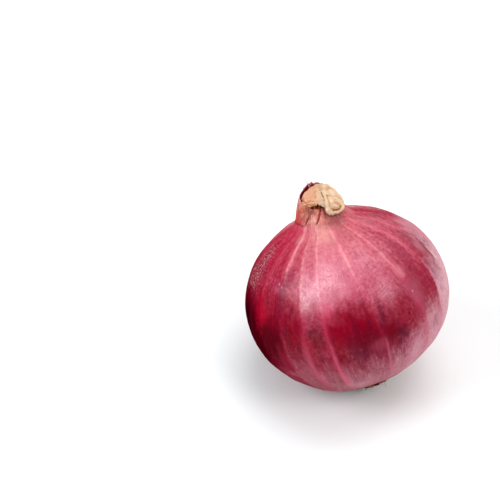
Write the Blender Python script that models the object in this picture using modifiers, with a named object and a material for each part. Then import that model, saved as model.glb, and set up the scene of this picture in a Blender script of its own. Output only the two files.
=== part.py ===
"""A red onion, built as one bulb in its dry skin with two dried ends.

Units are metres and +Z is up. The origin is the middle of the small flat spot that the onion rests
on. The onion is modelled about its own axis first, root end down, with its middle at the local
origin, and one empty then tips it back and to the left, so that it lies on its belly beside the
root end with its neck up.

Nodes:
    bulb        the body in its red skin, drawn in to a short open neck
    neck_tip    the dried leaf sheath that stands in the neck and hangs over its rim like a hood
    root_tuft   the root plate with its dried root stubs, all grown in one piece
"""

import math
import random

import bmesh
import bpy
from mathutils import Matrix, Vector
from mathutils.geometry import interpolate_bezier

MM = 0.001

# The body is a slightly flattened round, drawn in to the neck above and open to the root plate below.
BODY_RADIUS = 35.0 * MM
BODY_HALF_HEIGHT = 30.8 * MM
BODY_RINGS = 24
LOBES = ((2, 0.006, 0.6), (3, 0.005, -1.1), (5, 0.002, 2.0))  # waves round it, share of radius, phase

# The veins run from root to neck. Each has four columns of faces, so its crest is a line of points.
VEINS = 24
COLUMNS_PER_VEIN = 4
VEIN_SWAYS = ((2, 0.20, -0.52), (7, 0.07, 2.1))  # waves round the bulb, share of a vein's width, phase
VEIN_WIDTH = 0.18
VEIN_HEIGHT = 0.12 * MM
PLEAT_HEIGHT = 0.24 * MM
PLEATS_FROM = 0.72  # share of the half height from which the skin is gathered

# The neck is a short leaning cone with a thin wall. Its rim is tucked in at the front, and a collar
# of it stands up at the back left.
SHOULDER_RADIUS = 13.5 * MM
NECK_BASE = 32.3 * MM
NECK_BASE_RADIUS = 8.6 * MM
NECK_RIM = 35.8 * MM
NECK_SLOPE = 0.42  # how far the wall comes in for each step up
NECK_WALL = 0.8 * MM
NECK_RINGS = 3
FILLET_POINTS = 7
NECK_DRIFT = 0.021 / MM  # sideways lean, times the square of the height over the base
NECK_TUCK = 1.9 * MM
NECK_TUCK_HEADING = math.radians(310)
MOUTH_FLOOR = 33.8 * MM
COLLAR_RISE = 6.6 * MM
COLLAR_HEADING = math.radians(135)
COLLAR_NARROWNESS = 4

# The root plate lies in a shallow seat under the body.
ROOT_RADIUS = 8.9 * MM
ROOT_SEAT_GAP = 0.35 * MM
ROOT_SEAT_DEPTH = 1.7 * MM
ROOT_LIP = 0.5 * MM
ROOT_DOME = 1.1 * MM
ROOT_EDGE = -BODY_HALF_HEIGHT + 0.35 * ROOT_SEAT_DEPTH  # height at which the dome begins
ROOT_STUBS = 78
STUB_RADIUS = 0.78 * MM
STUB_TAPER = 0.72
STUB_SIDES = 5
STUB_SUNK = 1.2 * MM
STUB_LENGTHS = (1.2 * MM, 2.3 * MM)
STUB_SPLAY = 0.55
STUB_WOBBLE = 0.25
STUB_EDGE_INSET = 0.8 * MM
STUB_SEED = 11
GOLDEN_ANGLE = math.radians(137.508)

# The dried sheath is a crumpled hood that stands in the neck and hangs over its rim to the right. These
# points (x, y, height) lie round its edge, from the right and counterclockwise, with its top in their midst.
HOOD_EDGE = (
    (9.7, -1.8, 33.8),
    (8.7, 2.1, 35.0),
    (5.6, 4.1, 37.1),
    (1.8, 4.1, 37.8),
    (-1.6, 3.3, 37.9),
    (-3.2, 1.0, 37.8),
    (-3.5, -1.5, 37.5),
    (-2.1, -3.8, 37.4),
    (1.3, -5.2, 37.3),
    (4.8, -7.2, 34.6),
    (7.9, -6.2, 33.2),
)
HOOD_TOP = (2.2, 0.0, 41.9)
HOOD_STEPS = 4  # points from each edge point to the next
HOOD_RINGS = 7
HOOD_WALL = 0.9 * MM
HOOD_UNDERCUT = math.radians(48)  # how far up the inside goes where the hood hangs outside the neck
HOOD_HANGS_BELOW = 36.9 * MM
HOOD_HANG_BLEND = 2.0 * MM
HOOD_FOLDS = ((3, 0.30 * MM, 1.2), (7, 0.28 * MM, 0.3), (10, 0.20 * MM, 2.2))  # waves round it, depth, phase
HOOD_CREASE = 0.87  # share of the way round
HOOD_CREASE_DEPTH = 1.0 * MM
HOOD_CREASE_WIDTH = 0.028
STEM_RADIUS = 3.3 * MM
STEM_MIDDLE = (0.5, -0.1)
STEM_FOOT = 34.2 * MM
STEM_TOP = 37.5 * MM
STEM_EXTRA = 1.2 * MM  # how much higher the stem goes under the part that hangs

# How the onion lies: tipped from upright by LEAN, towards LEAN_HEADING, which is measured from +X.
LEAN = math.radians(25.3)
LEAN_HEADING = math.radians(133.5)
SPIN = math.radians(-10.75)
REST_FLAT = 0.65 * MM  # how much of the belly is pressed flat


def smooth_step(low, high, value):
    """0 below low, 1 above high, and a smooth rise between them."""
    share = min(1.0, max(0.0, (value - low) / (high - low)))
    return share * share * (3.0 - 2.0 * share)


def new_object(name, mesh, collection, parent=None):
    """An object with this mesh in the collection."""
    made = bpy.data.objects.new(name, mesh)
    collection.objects.link(made)
    made.parent = parent
    return made


def paint(target, name, colour, roughness):
    """Gives the object a Principled material of its own."""
    material = bpy.data.materials.new(name)
    material.use_nodes = True
    shader = material.node_tree.nodes["Principled BSDF"]
    shader.inputs["Base Color"].default_value = (*colour, 1.0)
    shader.inputs["Roughness"].default_value = roughness
    shader.inputs["Metallic"].default_value = 0.0
    material.diffuse_color = (*colour, 1.0)
    target.data.materials.clear()
    target.data.materials.append(material)


def turned_mesh(name, outline, steps):
    """The solid of revolution of an outline of (radius, height), which runs top to bottom outside."""
    line = bpy.data.meshes.new(name)
    points = [(radius, 0.0, height) for radius, height in outline]
    line.from_pydata(points, [(index, index + 1) for index in range(len(points) - 1)], [])
    holder = new_object(name + "_outline", line, bpy.context.scene.collection)
    screw = holder.modifiers.new("Screw", "SCREW")
    screw.axis = "Z"
    screw.steps = steps
    screw.render_steps = steps
    screw.use_merge_vertices = True
    screw.merge_threshold = 0.00001
    graph = bpy.context.evaluated_depsgraph_get()
    mesh = bpy.data.meshes.new_from_object(holder.evaluated_get(graph))
    mesh.name = name
    bpy.data.objects.remove(holder)
    return mesh


def body_point(angle):
    """The body's outline at an angle from the neck end, as (radius, height)."""
    return BODY_RADIUS * math.sin(angle), BODY_HALF_HEIGHT * math.cos(angle)


def bulb_outline():
    """The bulb's outline from the floor of the neck's mouth, down its outside, to the root seat."""
    shoulder = math.asin(SHOULDER_RADIUS / BODY_RADIUS)
    seat_radius = ROOT_RADIUS + ROOT_SEAT_GAP
    root = math.pi - math.asin((seat_radius + ROOT_LIP) / BODY_RADIUS)
    rim_radius = NECK_BASE_RADIUS - NECK_SLOPE * (NECK_RIM - NECK_BASE)
    mouth = rim_radius - NECK_WALL
    outline = [
        (0.0, MOUTH_FLOOR),
        (mouth * 0.5, MOUTH_FLOOR),
        (mouth, MOUTH_FLOOR),
        (mouth, MOUTH_FLOOR + 0.35 * (NECK_RIM - MOUTH_FLOOR)),
        (mouth, MOUTH_FLOOR + 0.7 * (NECK_RIM - MOUTH_FLOOR)),
        (mouth + 0.15 * NECK_WALL, NECK_RIM),
        (rim_radius - 0.1 * NECK_WALL, NECK_RIM),
    ]
    for step in range(NECK_RINGS, 0, -1):
        height = NECK_BASE + (NECK_RIM - NECK_BASE) * step / (NECK_RINGS + 1)
        outline.append((NECK_BASE_RADIUS - NECK_SLOPE * (height - NECK_BASE), height))

    start = Vector((NECK_BASE_RADIUS, NECK_BASE))
    end = Vector(body_point(shoulder))
    along = Vector((math.cos(shoulder) * BODY_RADIUS, -math.sin(shoulder) * BODY_HALF_HEIGHT))
    reach = 0.4 * (end - start).length
    down = Vector((NECK_SLOPE, -1.0)).normalized()
    up = -along.normalized()
    fillet = interpolate_bezier(start, start + reach * down, end + reach * up, end, FILLET_POINTS)
    outline += [tuple(point) for point in fillet]

    for step in range(1, BODY_RINGS + 1):
        outline.append(body_point(shoulder + (root - shoulder) * step / BODY_RINGS))
    edge = body_point(root)[1]
    floor = -BODY_HALF_HEIGHT + ROOT_SEAT_DEPTH
    outline += [
        (seat_radius, edge + 0.25 * ROOT_LIP),
        (seat_radius, floor),
        (seat_radius * 0.5, floor),
        (0.0, floor),
    ]
    return outline


def vein_angle(column):
    """The angle round the axis of a place among the veins, where each vein is a whole number."""
    turns = column / VEINS
    sway = sum(size * math.sin(math.tau * waves * turns + phase) for waves, size, phase in VEIN_SWAYS)
    return math.tau * (column + sway) / VEINS


def vein_relief(column, height):
    """How far the skin stands out at a place among the veins and a height."""
    from_crest = abs(column - round(column))
    gathered = smooth_step(PLEATS_FROM, 1.0, abs(height) / BODY_HALF_HEIGHT)
    return (VEIN_HEIGHT + PLEAT_HEIGHT * gathered) * math.exp(-((from_crest / VEIN_WIDTH) ** 2))


def facing(angle, heading):
    """1 where the angle is the heading, falling to 0 on the opposite side."""
    return 0.5 + 0.5 * math.cos(angle - heading)


def collar_rise(angle):
    """How much higher than its front the neck's rim stands at an angle round the axis."""
    return COLLAR_RISE * facing(angle, COLLAR_HEADING) ** COLLAR_NARROWNESS


def lobed_radius(radius, angle):
    """A radius with the body's slow swell and hollow round its axis."""
    swell = sum(size * math.cos(waves * angle + phase) for waves, size, phase in LOBES)
    return radius * (1.0 + swell * (radius / BODY_RADIUS) ** 2)


def neck_point(angle, radius, height, foot):
    """Where a point of the neck's wall goes with the collar raised from the foot and the front tucked in."""
    share = min(1.0, max(0.0, (height - foot) / (NECK_RIM - foot)))
    rise = share * collar_rise(angle)
    radius -= NECK_SLOPE * rise + NECK_TUCK * share**2 * facing(angle, NECK_TUCK_HEADING)
    height += rise
    drift = NECK_DRIFT * max(0.0, height - NECK_BASE) ** 2
    return radius * math.cos(angle) + drift, radius * math.sin(angle), height


def shape_skin(mesh):
    """Raises the veins, lobes and collar on the turned bulb."""
    rim_radius = NECK_BASE_RADIUS - NECK_SLOPE * (NECK_RIM - NECK_BASE)
    for vertex in mesh.vertices:
        x, y, height = vertex.co
        radius = math.hypot(x, y)
        column = math.atan2(y, x) / math.tau * VEINS
        angle = vein_angle(column)
        in_mouth = height > NECK_BASE and radius < rim_radius - 0.5 * NECK_WALL
        in_seat = height < 0 and radius < ROOT_RADIUS + 2 * ROOT_SEAT_GAP
        if not in_mouth and not in_seat:
            out = vein_relief(column, height)
            radius += out * vertex.normal.xy.length
            height += out * vertex.normal.z
            radius = lobed_radius(radius, angle)
        vertex.co = neck_point(angle, radius, height, MOUTH_FLOOR if in_mouth else NECK_BASE)


def make_bulb(collection, pose):
    """The body in its red skin."""
    mesh = turned_mesh("bulb", bulb_outline(), VEINS * COLUMNS_PER_VEIN)
    shape_skin(mesh)
    bulb = new_object("bulb", mesh, collection, pose)
    mesh.shade_smooth()
    mesh.set_sharp_from_angle(angle=math.radians(50))
    paint(bulb, "red_skin", (0.42, 0.03, 0.09), 0.38)
    return bulb


def through(points, place):
    """The smooth closed curve through the points, at a place counted in points from the first."""
    index = math.floor(place)
    share = place - index
    before, here, there, after = (Vector(points[(index + offset) % len(points)]) for offset in (-1, 0, 1, 2))
    straight = here.lerp(there, share * share * (3.0 - 2.0 * share))
    leaving = 0.5 * (there - before) * share * (1.0 - share) ** 2
    arriving = 0.5 * (after - here) * share**2 * (1.0 - share)
    return straight + leaving - arriving


def hood_point(turn, polar, inset=0.0):
    """A point of the hood, a share of the way round it and at a polar angle down from its top."""
    edge = MM * through(HOOD_EDGE, turn * len(HOOD_EDGE))
    top = MM * Vector(HOOD_TOP)
    away = Vector((edge.x - top.x, edge.y - top.y, 0.0))
    across, down = math.sin(polar), math.cos(polar)
    waves = sum(depth * math.cos(count * math.tau * turn + phase) for count, depth, phase in HOOD_FOLDS)
    from_crease = (turn - HOOD_CREASE + 0.5) % 1.0 - 0.5
    crease = HOOD_CREASE_DEPTH * math.exp(-((from_crease / HOOD_CREASE_WIDTH) ** 2))
    out = (waves - crease) * across**2 * (1.0 - 0.4 * across**8) - inset
    flat = top + away * across * (1.0 + out / away.length)
    return Vector((flat.x, flat.y, edge.z + (top.z - edge.z + out) * down))


def stem_point(turn, height):
    """A point of the stem by which the hood stands in the neck."""
    away = hood_point(turn, 0.5 * math.pi) - MM * Vector(HOOD_TOP)
    away.z = 0.0
    return MM * Vector((*STEM_MIDDLE, 0.0)) + STEM_RADIUS * away.normalized() + Vector((0.0, 0.0, height))


def hood_column(turn):
    """The hood's points at one share of the way round, from the foot of its stem to near its top."""
    level = 0.5 * math.pi
    hanging = smooth_step(0.0, HOOD_HANG_BLEND, HOOD_HANGS_BELOW - hood_point(turn, level).z)
    undercut = HOOD_UNDERCUT * hanging
    foot, stem_top = stem_point(turn, STEM_FOOT), stem_point(turn, STEM_TOP + STEM_EXTRA * hanging)
    inside = [
        hood_point(turn, level - undercut * share, HOOD_WALL) + Vector((0.0, 0.0, lift))
        for share, lift in ((1.0, 0.01 * MM), (0.5, 0.05 * MM), (0.0, 0.1 * MM))
    ]
    outside = [hood_point(turn, level * (1.0 - step / HOOD_RINGS)) for step in range(HOOD_RINGS)]
    return [foot, foot.lerp(stem_top, 0.5), stem_top, stem_top.lerp(inside[0], 0.6), *inside, *outside]


def make_neck_tip(collection, pose):
    """The dried sheath, crumpled in a hood that hangs over the neck's rim to the right."""
    count = len(HOOD_EDGE) * HOOD_STEPS
    columns = [hood_column(step / count) for step in range(count)]
    mesh = bpy.data.meshes.new("neck_tip")
    builder = bmesh.new()
    loops = [[builder.verts.new(point) for point in ring] for ring in zip(*columns)]
    foot = builder.verts.new(MM * Vector((*STEM_MIDDLE, 0.0)) + Vector((0.0, 0.0, STEM_FOOT)))
    top = builder.verts.new(MM * Vector(HOOD_TOP))
    for step in range(count):
        after = (step + 1) % count
        for here, there in zip(loops, loops[1:]):
            builder.faces.new((here[step], here[after], there[after], there[step]))
        builder.faces.new((foot, loops[0][after], loops[0][step]))
        builder.faces.new((top, loops[-1][step], loops[-1][after]))
    bmesh.ops.recalc_face_normals(builder, faces=builder.faces)
    builder.to_mesh(mesh)
    builder.free()

    neck_tip = new_object("neck_tip", mesh, collection, pose)
    mesh.shade_smooth()
    mesh.set_sharp_from_angle(angle=math.radians(50))
    paint(neck_tip, "dry_sheath", (0.80, 0.60, 0.40), 0.7)
    return neck_tip


def root_plate_outline():
    """The root plate's outline, top to bottom outside, with a domed underside."""
    top = -BODY_HALF_HEIGHT + ROOT_SEAT_DEPTH - ROOT_SEAT_GAP
    bevel = 0.3 * MM
    outline = [(0.0, top), (ROOT_RADIUS - bevel, top), (ROOT_RADIUS, top - bevel)]
    steps = 5
    for step in range(steps):
        angle = 0.5 * math.pi * step / steps
        outline.append((ROOT_RADIUS * math.cos(angle), ROOT_EDGE - ROOT_DOME * math.sin(angle)))
    outline.append((0.0, ROOT_EDGE - ROOT_DOME))
    return outline


def make_stub(number, draw, collection, pose):
    """One root stub, sunk well into the plate and leaning out from its middle."""
    reach = math.sqrt((number + 0.5) / ROOT_STUBS)
    spot = (ROOT_RADIUS - STUB_EDGE_INSET) * reach
    heading = number * GOLDEN_ANGLE
    surface = ROOT_EDGE - ROOT_DOME * math.sqrt(1.0 - 0.8 * reach**2)
    away = Vector((math.cos(heading), math.sin(heading), 0.0))
    wobble = Vector((draw.uniform(-1.0, 1.0), draw.uniform(-1.0, 1.0), 0.0)) * STUB_WOBBLE
    lean = (Vector((0.0, 0.0, -1.0)) + STUB_SPLAY * reach**3 * away + wobble * (1.0 - reach**4)).normalized()
    length = STUB_SUNK + draw.uniform(*STUB_LENGTHS) * (1.0 - 0.35 * reach**2)

    mesh = bpy.data.meshes.new(f"stub_{number}")
    builder = bmesh.new()
    bmesh.ops.create_cone(
        builder,
        cap_ends=True,
        segments=STUB_SIDES,
        radius1=STUB_RADIUS,
        radius2=STUB_RADIUS * STUB_TAPER * draw.uniform(0.8, 1.15),
        depth=length,
        matrix=Matrix.Translation((0.0, 0.0, 0.5 * length)),
    )
    builder.to_mesh(mesh)
    builder.free()
    stub = new_object(mesh.name, mesh, collection, pose)
    turn = lean.to_track_quat("Z", "Y").to_matrix().to_4x4()
    foot = away * spot + Vector((0.0, 0.0, surface)) - STUB_SUNK * lean
    twist = Matrix.Rotation(draw.uniform(0.0, math.tau), 4, "Z")
    stub.matrix_local = Matrix.Translation(foot) @ turn @ twist
    return stub


def make_root_tuft(collection, helpers, pose):
    """The root plate and its stubs, joined in one solid."""
    mesh = turned_mesh("root_plate", root_plate_outline(), 40)
    tuft = new_object("root_tuft", mesh, collection, pose)
    stubs = bpy.data.collections.new("root_stubs")
    helpers.children.link(stubs)
    draw = random.Random(STUB_SEED)
    for number in range(ROOT_STUBS):
        make_stub(number, draw, stubs, pose)

    join = tuft.modifiers.new("stubs", "BOOLEAN")
    join.operation = "UNION"
    join.solver = "EXACT"
    join.operand_type = "COLLECTION"
    join.collection = stubs
    apply_modifiers(tuft)
    for stub in list(stubs.objects):
        bpy.data.objects.remove(stub)
    bpy.data.collections.remove(stubs)
    paint(tuft, "dry_root", (0.55, 0.38, 0.20), 0.8)
    return tuft


def apply_modifiers(target):
    """Replaces the object's mesh by the one that its modifiers make."""
    bpy.context.view_layer.update()
    graph = bpy.context.evaluated_depsgraph_get()
    mesh = bpy.data.meshes.new_from_object(target.evaluated_get(graph))
    target.modifiers.clear()
    target.data = mesh


def press_on_floor(target, floor):
    """Cuts away what would reach below the surface that the onion rests on."""
    cut = target.modifiers.new("rest", "BOOLEAN")
    cut.operation = "DIFFERENCE"
    cut.solver = "EXACT"
    cut.object = floor


def make_floor(helpers):
    """A block whose top is the surface that the onion rests on."""
    mesh = bpy.data.meshes.new("floor")
    builder = bmesh.new()
    bmesh.ops.create_cube(builder, size=1.0)
    builder.to_mesh(mesh)
    builder.free()
    side = 4 * BODY_RADIUS
    mesh.transform(Matrix.Translation((0.0, 0.0, -side / 2)) @ Matrix.Scale(side, 4))
    floor = new_object("floor", mesh, helpers)
    floor.display_type = "WIRE"
    floor.hide_render = True
    return floor


def pose_matrix():
    """Where the onion's own frame lies: leaning, and low enough to press its belly flat."""
    heading = Matrix.Rotation(LEAN_HEADING, 4, "Z")
    turn = heading @ Matrix.Rotation(LEAN, 4, "Y") @ heading.inverted() @ Matrix.Rotation(SPIN, 4, "Z")
    across, up = BODY_RADIUS * math.sin(LEAN), BODY_HALF_HEIGHT * math.cos(LEAN)
    height = math.hypot(across, up)
    overhang = (BODY_RADIUS**2 - BODY_HALF_HEIGHT**2) * math.sin(LEAN) * math.cos(LEAN) / height
    aside = -overhang * Vector((math.cos(LEAN_HEADING), math.sin(LEAN_HEADING), 0.0))
    return Matrix.Translation(aside + Vector((0.0, 0.0, height - REST_FLAT))) @ turn


def main():
    """Clears the scene and builds the onion."""
    for old in list(bpy.data.objects):
        bpy.data.objects.remove(old)
    onion = bpy.data.collections.new("red_onion")
    helpers = bpy.data.collections.new("cutters")
    for collection in (onion, helpers):
        bpy.context.scene.collection.children.link(collection)
    helpers.hide_render = True

    pose = new_object("onion_axis", None, onion)
    pose.matrix_world = pose_matrix()
    bpy.context.view_layer.update()

    floor = make_floor(helpers)
    bulb = make_bulb(onion, pose)
    make_neck_tip(onion, pose)
    tuft = make_root_tuft(onion, helpers, pose)
    for resting in (bulb, tuft):
        press_on_floor(resting, floor)


main()
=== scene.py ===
import logging
import math
from dataclasses import dataclass
from enum import Enum
from typing import Any, ClassVar, Mapping, Optional, Sequence, Union

import bpy
import numpy as np
from mathutils import Matrix, Vector


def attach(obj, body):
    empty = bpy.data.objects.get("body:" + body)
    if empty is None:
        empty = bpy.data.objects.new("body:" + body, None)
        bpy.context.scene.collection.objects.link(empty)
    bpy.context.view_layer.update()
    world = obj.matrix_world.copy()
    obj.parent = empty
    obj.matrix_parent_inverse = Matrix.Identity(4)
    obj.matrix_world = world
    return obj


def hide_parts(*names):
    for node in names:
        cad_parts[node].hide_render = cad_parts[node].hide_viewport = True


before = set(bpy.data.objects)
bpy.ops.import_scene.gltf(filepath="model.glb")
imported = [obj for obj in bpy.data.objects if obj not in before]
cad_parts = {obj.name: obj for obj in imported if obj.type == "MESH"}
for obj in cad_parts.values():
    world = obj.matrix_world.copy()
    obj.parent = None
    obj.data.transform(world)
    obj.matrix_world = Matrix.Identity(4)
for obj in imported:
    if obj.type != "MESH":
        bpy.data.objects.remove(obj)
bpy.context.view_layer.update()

# The dressed look of a red onion that lies on its belly. Shapes are worked out in the onion's own frame,
# in millimetres and with its root end down, and Stance puts them where the solids are. A lane is the strip of
# skin between two veins. The map of lanes runs round the axis, and in degrees from the neck down to the root.

LOG = logging.getLogger("red_onion")
MM = 0.001
TAU = math.tau
GOLDEN_ANGLE = math.radians(137.508)
MAP_START, MAP_SPAN = -20.0, 200.0  # the first of the degrees that the map of lanes covers, and how many


def ink(red: int, green: int, blue: int) -> tuple[float, float, float, float]:
    """A screen colour of 0 to 255 as the linear colour that shaders use.

    Args:
        red: The red share, 0 to 255.
        green: The green share, 0 to 255.
        blue: The blue share, 0 to 255.

    Returns:
        Linear red, green, blue and an alpha of 1.
    """
    shares = [value / 255.0 for value in (red, green, blue)]
    linear = [share / 12.92 if share <= 0.04045 else ((share + 0.055) / 1.055) ** 2.4 for share in shares]
    return (*linear, 1.0)


def smooth_step(low: float, high: float, value: np.ndarray) -> np.ndarray:
    """0 below low, 1 above high and a smooth rise between them; low may be the higher number."""
    share = np.clip((np.asarray(value, float) - low) / (high - low), 0.0, 1.0)
    return share * share * (3.0 - 2.0 * share)


class Steps(Enum):
    """How a colour ramp goes from one stop to the next."""

    HELD = "CONSTANT"
    STRAIGHT = "LINEAR"


@dataclass(frozen=True)
class Ripple:
    """Smooth seeded unevenness: plane waves in random directions.

    Attributes:
        seed: The seed of its directions.
        size: About how far it is from one swell to the next, in millimetres.
        height: About how high its swells are.
        waves: How many waves are added.
    """

    seed: int
    size: float
    height: float = 1.0
    waves: int = 16

    def at(self, points: np.ndarray) -> np.ndarray:
        """The unevenness at points.

        Args:
            points: Any number of points, with their coordinates along the last axis.

        Returns:
            One number for each point.
        """
        draw = np.random.default_rng(self.seed)
        directions = draw.normal(size=(self.waves, points.shape[-1]))
        directions /= np.linalg.norm(directions, axis=1, keepdims=True)
        rates = TAU / self.size * draw.uniform(0.6, 1.5, self.waves)
        phases = draw.uniform(0.0, TAU, self.waves)
        swells = np.sin(points @ (directions * rates[:, None]).T + phases)
        return self.height * (swells.sum(axis=-1) / math.sqrt(self.waves))


def uneven(ripples: Sequence[Ripple], points: np.ndarray) -> np.ndarray:
    """The sum of some ripples at points."""
    return sum(ripple.at(points) for ripple in ripples)


def unit(way: Sequence[float]) -> np.ndarray:
    """The direction of a vector, with length 1."""
    return np.asarray(way) / np.linalg.norm(way)


def level_way(angle: float) -> np.ndarray:
    """The level direction at an angle round the axis."""
    return np.array((math.cos(angle), math.sin(angle), 0.0))


def degrees_from(middle: Union[float, np.ndarray], degrees: np.ndarray) -> np.ndarray:
    """How far degrees are from a middle, between -180 and 180."""
    return (degrees - middle + 180.0) % 360.0 - 180.0


def ring_points(angles: np.ndarray, radii: Union[float, np.ndarray], heights: np.ndarray) -> np.ndarray:
    """Rings of points about the axis.

    Args:
        angles: The angle of each column.
        radii: One radius for all points, for each ring or for each point.
        heights: The height of each ring or point.

    Returns:
        An array of rings by columns by 3.
    """
    return np.stack(np.broadcast_arrays(radii * np.cos(angles), radii * np.sin(angles), heights), axis=-1)


def put_in_scene(name: str, data: bpy.types.ID) -> bpy.types.Object:
    """Makes an object of some data and links it to the scene.

    Args:
        name: Its name.
        data: What it shows: a mesh, a light or a camera.

    Returns:
        The object.
    """
    made = bpy.data.objects.new(name, data)
    bpy.context.scene.collection.objects.link(made)
    return made


@dataclass(frozen=True)
class Stance:
    """How the onion lies on its belly.

    Attributes:
        lean: How far its axis is tipped from upright.
        heading: The direction that it is tipped in, from +X.
        spin: Its turn about its own axis.
        radius: The body's radius.
        half_height: Half the body's height.
        pressed: How much of the belly is pressed flat.
    """

    lean: float = math.radians(25.3)
    heading: float = math.radians(133.5)
    spin: float = math.radians(-10.75)
    radius: float = 35.0
    half_height: float = 30.8
    pressed: float = 0.65

    def matrix(self) -> Matrix:
        """The onion's own frame in the model's frame, with lengths in millimetres.

        Returns:
            The matrix.
        """
        heading = Matrix.Rotation(self.heading, 4, "Z")
        turn = heading @ Matrix.Rotation(self.lean, 4, "Y") @ heading.inverted() @ Matrix.Rotation(self.spin, 4, "Z")
        across, up = self.radius * math.sin(self.lean), self.half_height * math.cos(self.lean)
        height = math.hypot(across, up)
        overhang = (self.radius**2 - self.half_height**2) * math.sin(self.lean) * math.cos(self.lean) / height
        aside = -overhang * Vector((math.cos(self.heading), math.sin(self.heading), 0.0))
        return Matrix.Translation(aside + Vector((0.0, 0.0, height - self.pressed))) @ turn

    def middle(self) -> Vector:
        """The middle of the body, in metres."""
        return self.matrix().translation * MM

    def place(self, points: np.ndarray) -> np.ndarray:
        """Puts points where they are as the onion lies, with none below the surface it lies on.

        Args:
            points: Points in the onion's own frame, in millimetres.

        Returns:
            The points in the model's frame, in metres.
        """
        matrix = np.array(self.matrix())
        placed = points @ matrix[:3, :3].T + matrix[:3, 3]
        placed[..., 2] = np.maximum(placed[..., 2], 0.0)
        return placed * MM


class SkinMesh:
    """Collects faces on grids of points, and makes one mesh of them."""

    ASKEW = (0.31, 0.77, 0.56)  # a direction that no strand runs in
    KNOT_HEIGHT, KNOT_RATE, KNOT_SHIFT = 0.12, 17.0, 400.0  # the thicker and thinner places of a strand

    def __init__(self, name: str, stance: Stance) -> None:
        """Starts with nothing.

        Args:
            name: The name of the mesh and its object.
            stance: Where the onion's own frame lies.
        """
        self.name = name
        self.stance = stance
        self.points: list[np.ndarray] = []
        self.faces: list[tuple[int, ...]] = []
        self.corners: list[tuple[tuple[float, float], ...]] = []
        self.marks: dict[str, list[np.ndarray]] = {}
        self.count = 0

    def add_grid(
        self, points: np.ndarray, marks: Mapping[str, np.ndarray], along: Optional[np.ndarray] = None,
        capped: tuple[bool, bool] = (False, False), round_about: bool = True,
    ) -> None:
        """Adds a grid of points and the faces between them.

        Args:
            points: Rings of points, as an array of rings by columns by 3.
            marks: Named numbers for each point, which shaders read.
            along: A number for each ring, which becomes the second coordinate of the map of lanes.
            capped: Whether the first and the last ring are closed by a fan about their middle.
            round_about: Whether the last column joins the first.
        """
        rings, columns = points.shape[:2]
        first = self.count
        along = np.zeros(rings) if along is None else along
        self.points.append(points.reshape(-1, 3))
        for name, values in marks.items():
            self.marks.setdefault(name, []).append(np.broadcast_to(values, (rings, columns)).reshape(-1))
        self.count += rings * columns
        spans = columns if round_about else columns - 1
        for ring in range(rings - 1):
            low, high = float(along[ring]), float(along[ring + 1])
            for column in range(spans):
                here = first + ring * columns + column
                there = first + ring * columns + (column + 1) % columns
                self.faces.append((here, here + columns, there + columns, there))
                left, right = column / columns, (column + 1) / columns
                self.corners.append(((left, low), (left, high), (right, high), (right, low)))
        for ring, closed in zip((0, rings - 1), capped):
            if closed:
                self._close(points, marks, first, ring, float(along[ring]))

    def _close(
        self, points: np.ndarray, marks: Mapping[str, np.ndarray], first: int, ring: int, along: float
    ) -> None:
        """Closes one end ring of a grid by a fan about its middle.

        Args:
            points: The points of the grid.
            marks: Its marks.
            first: The number of its first point.
            ring: Which of its rings is closed.
            along: The second coordinate of the map of lanes there.
        """
        rings, columns = points.shape[:2]
        self.points.append(points[ring].mean(axis=0, keepdims=True))
        for name, values in marks.items():
            self.marks[name].append(np.broadcast_to(values, (rings, columns))[ring, :1])
        middle = self.count
        self.count += 1
        for column in range(columns):
            here, there = first + ring * columns + column, first + ring * columns + (column + 1) % columns
            left, right = column / columns, (column + 1) / columns
            pair = (here, there) if ring == 0 else (there, here)
            sides = (left, right) if ring == 0 else (right, left)
            self.faces.append((middle, *pair))
            self.corners.append(((0.5 * (left + right), along), (sides[0], along), (sides[1], along)))

    def add_strand(
        self, foot: np.ndarray, way: np.ndarray, bend: np.ndarray, length: float, radius: float, taper: float,
        sides: int, rings: int, marks: Mapping[str, float], tip: Optional[str] = None,
    ) -> None:
        """Adds one round strand that bends as it goes.

        Args:
            foot: Where its axis starts.
            way: The direction that it starts in, of length 1.
            bend: How its direction changes over its length.
            length: Its length.
            radius: Its radius at the foot.
            taper: Its radius at the tip as a share of that.
            sides: Points round it.
            rings: Rings of points along it.
            marks: Named numbers that hold for all of it.
            tip: The name of a mark that grows from 0 at its foot to 1 at its tip.
        """
        side = unit(np.cross(way, self.ASKEW))
        up = np.cross(way, side)
        angles = np.arange(sides) / sides * TAU
        share = np.linspace(0.0, 1.0, rings)
        axis = foot + length * (share[:, None] * way + 0.5 * share[:, None] ** 2 * bend)
        knots = 1.0 + self.KNOT_HEIGHT * np.sin(share * self.KNOT_RATE + self.KNOT_SHIFT * radius)
        sizes = radius * (1.0 + (taper - 1.0) * share) * knots
        around = np.cos(angles)[:, None] * side + np.sin(angles)[:, None] * up
        points = axis[:, None, :] + sizes[:, None, None] * around
        spread = {name: np.full((rings, 1), value) for name, value in marks.items()}
        if tip:
            spread[tip] = share[:, None]
        self.add_grid(points, spread, share, (True, True))

    def make(self) -> bpy.types.Object:
        """Makes the object, in the model's frame and shaded smooth.

        Returns:
            The object, with its map of lanes and its marks.
        """
        local = np.concatenate(self.points)
        mesh = bpy.data.meshes.new(self.name)
        mesh.from_pydata(self.stance.place(local).tolist(), [], self.faces)
        lanes = mesh.uv_layers.new(name="lanes")
        flat = np.array([value for corner in self.corners for pair in corner for value in pair], np.float32)
        lanes.data.foreach_set("uv", flat)
        own = mesh.attributes.new("own", "FLOAT_VECTOR", "POINT")
        own.data.foreach_set("vector", local.astype(np.float32).reshape(-1))
        for name, parts in self.marks.items():
            mark = mesh.attributes.new(name, "FLOAT", "POINT")
            mark.data.foreach_set("value", np.concatenate(parts).astype(np.float32))
        mesh.shade_smooth()
        mesh.update()
        return put_in_scene(self.name, mesh)


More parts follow.
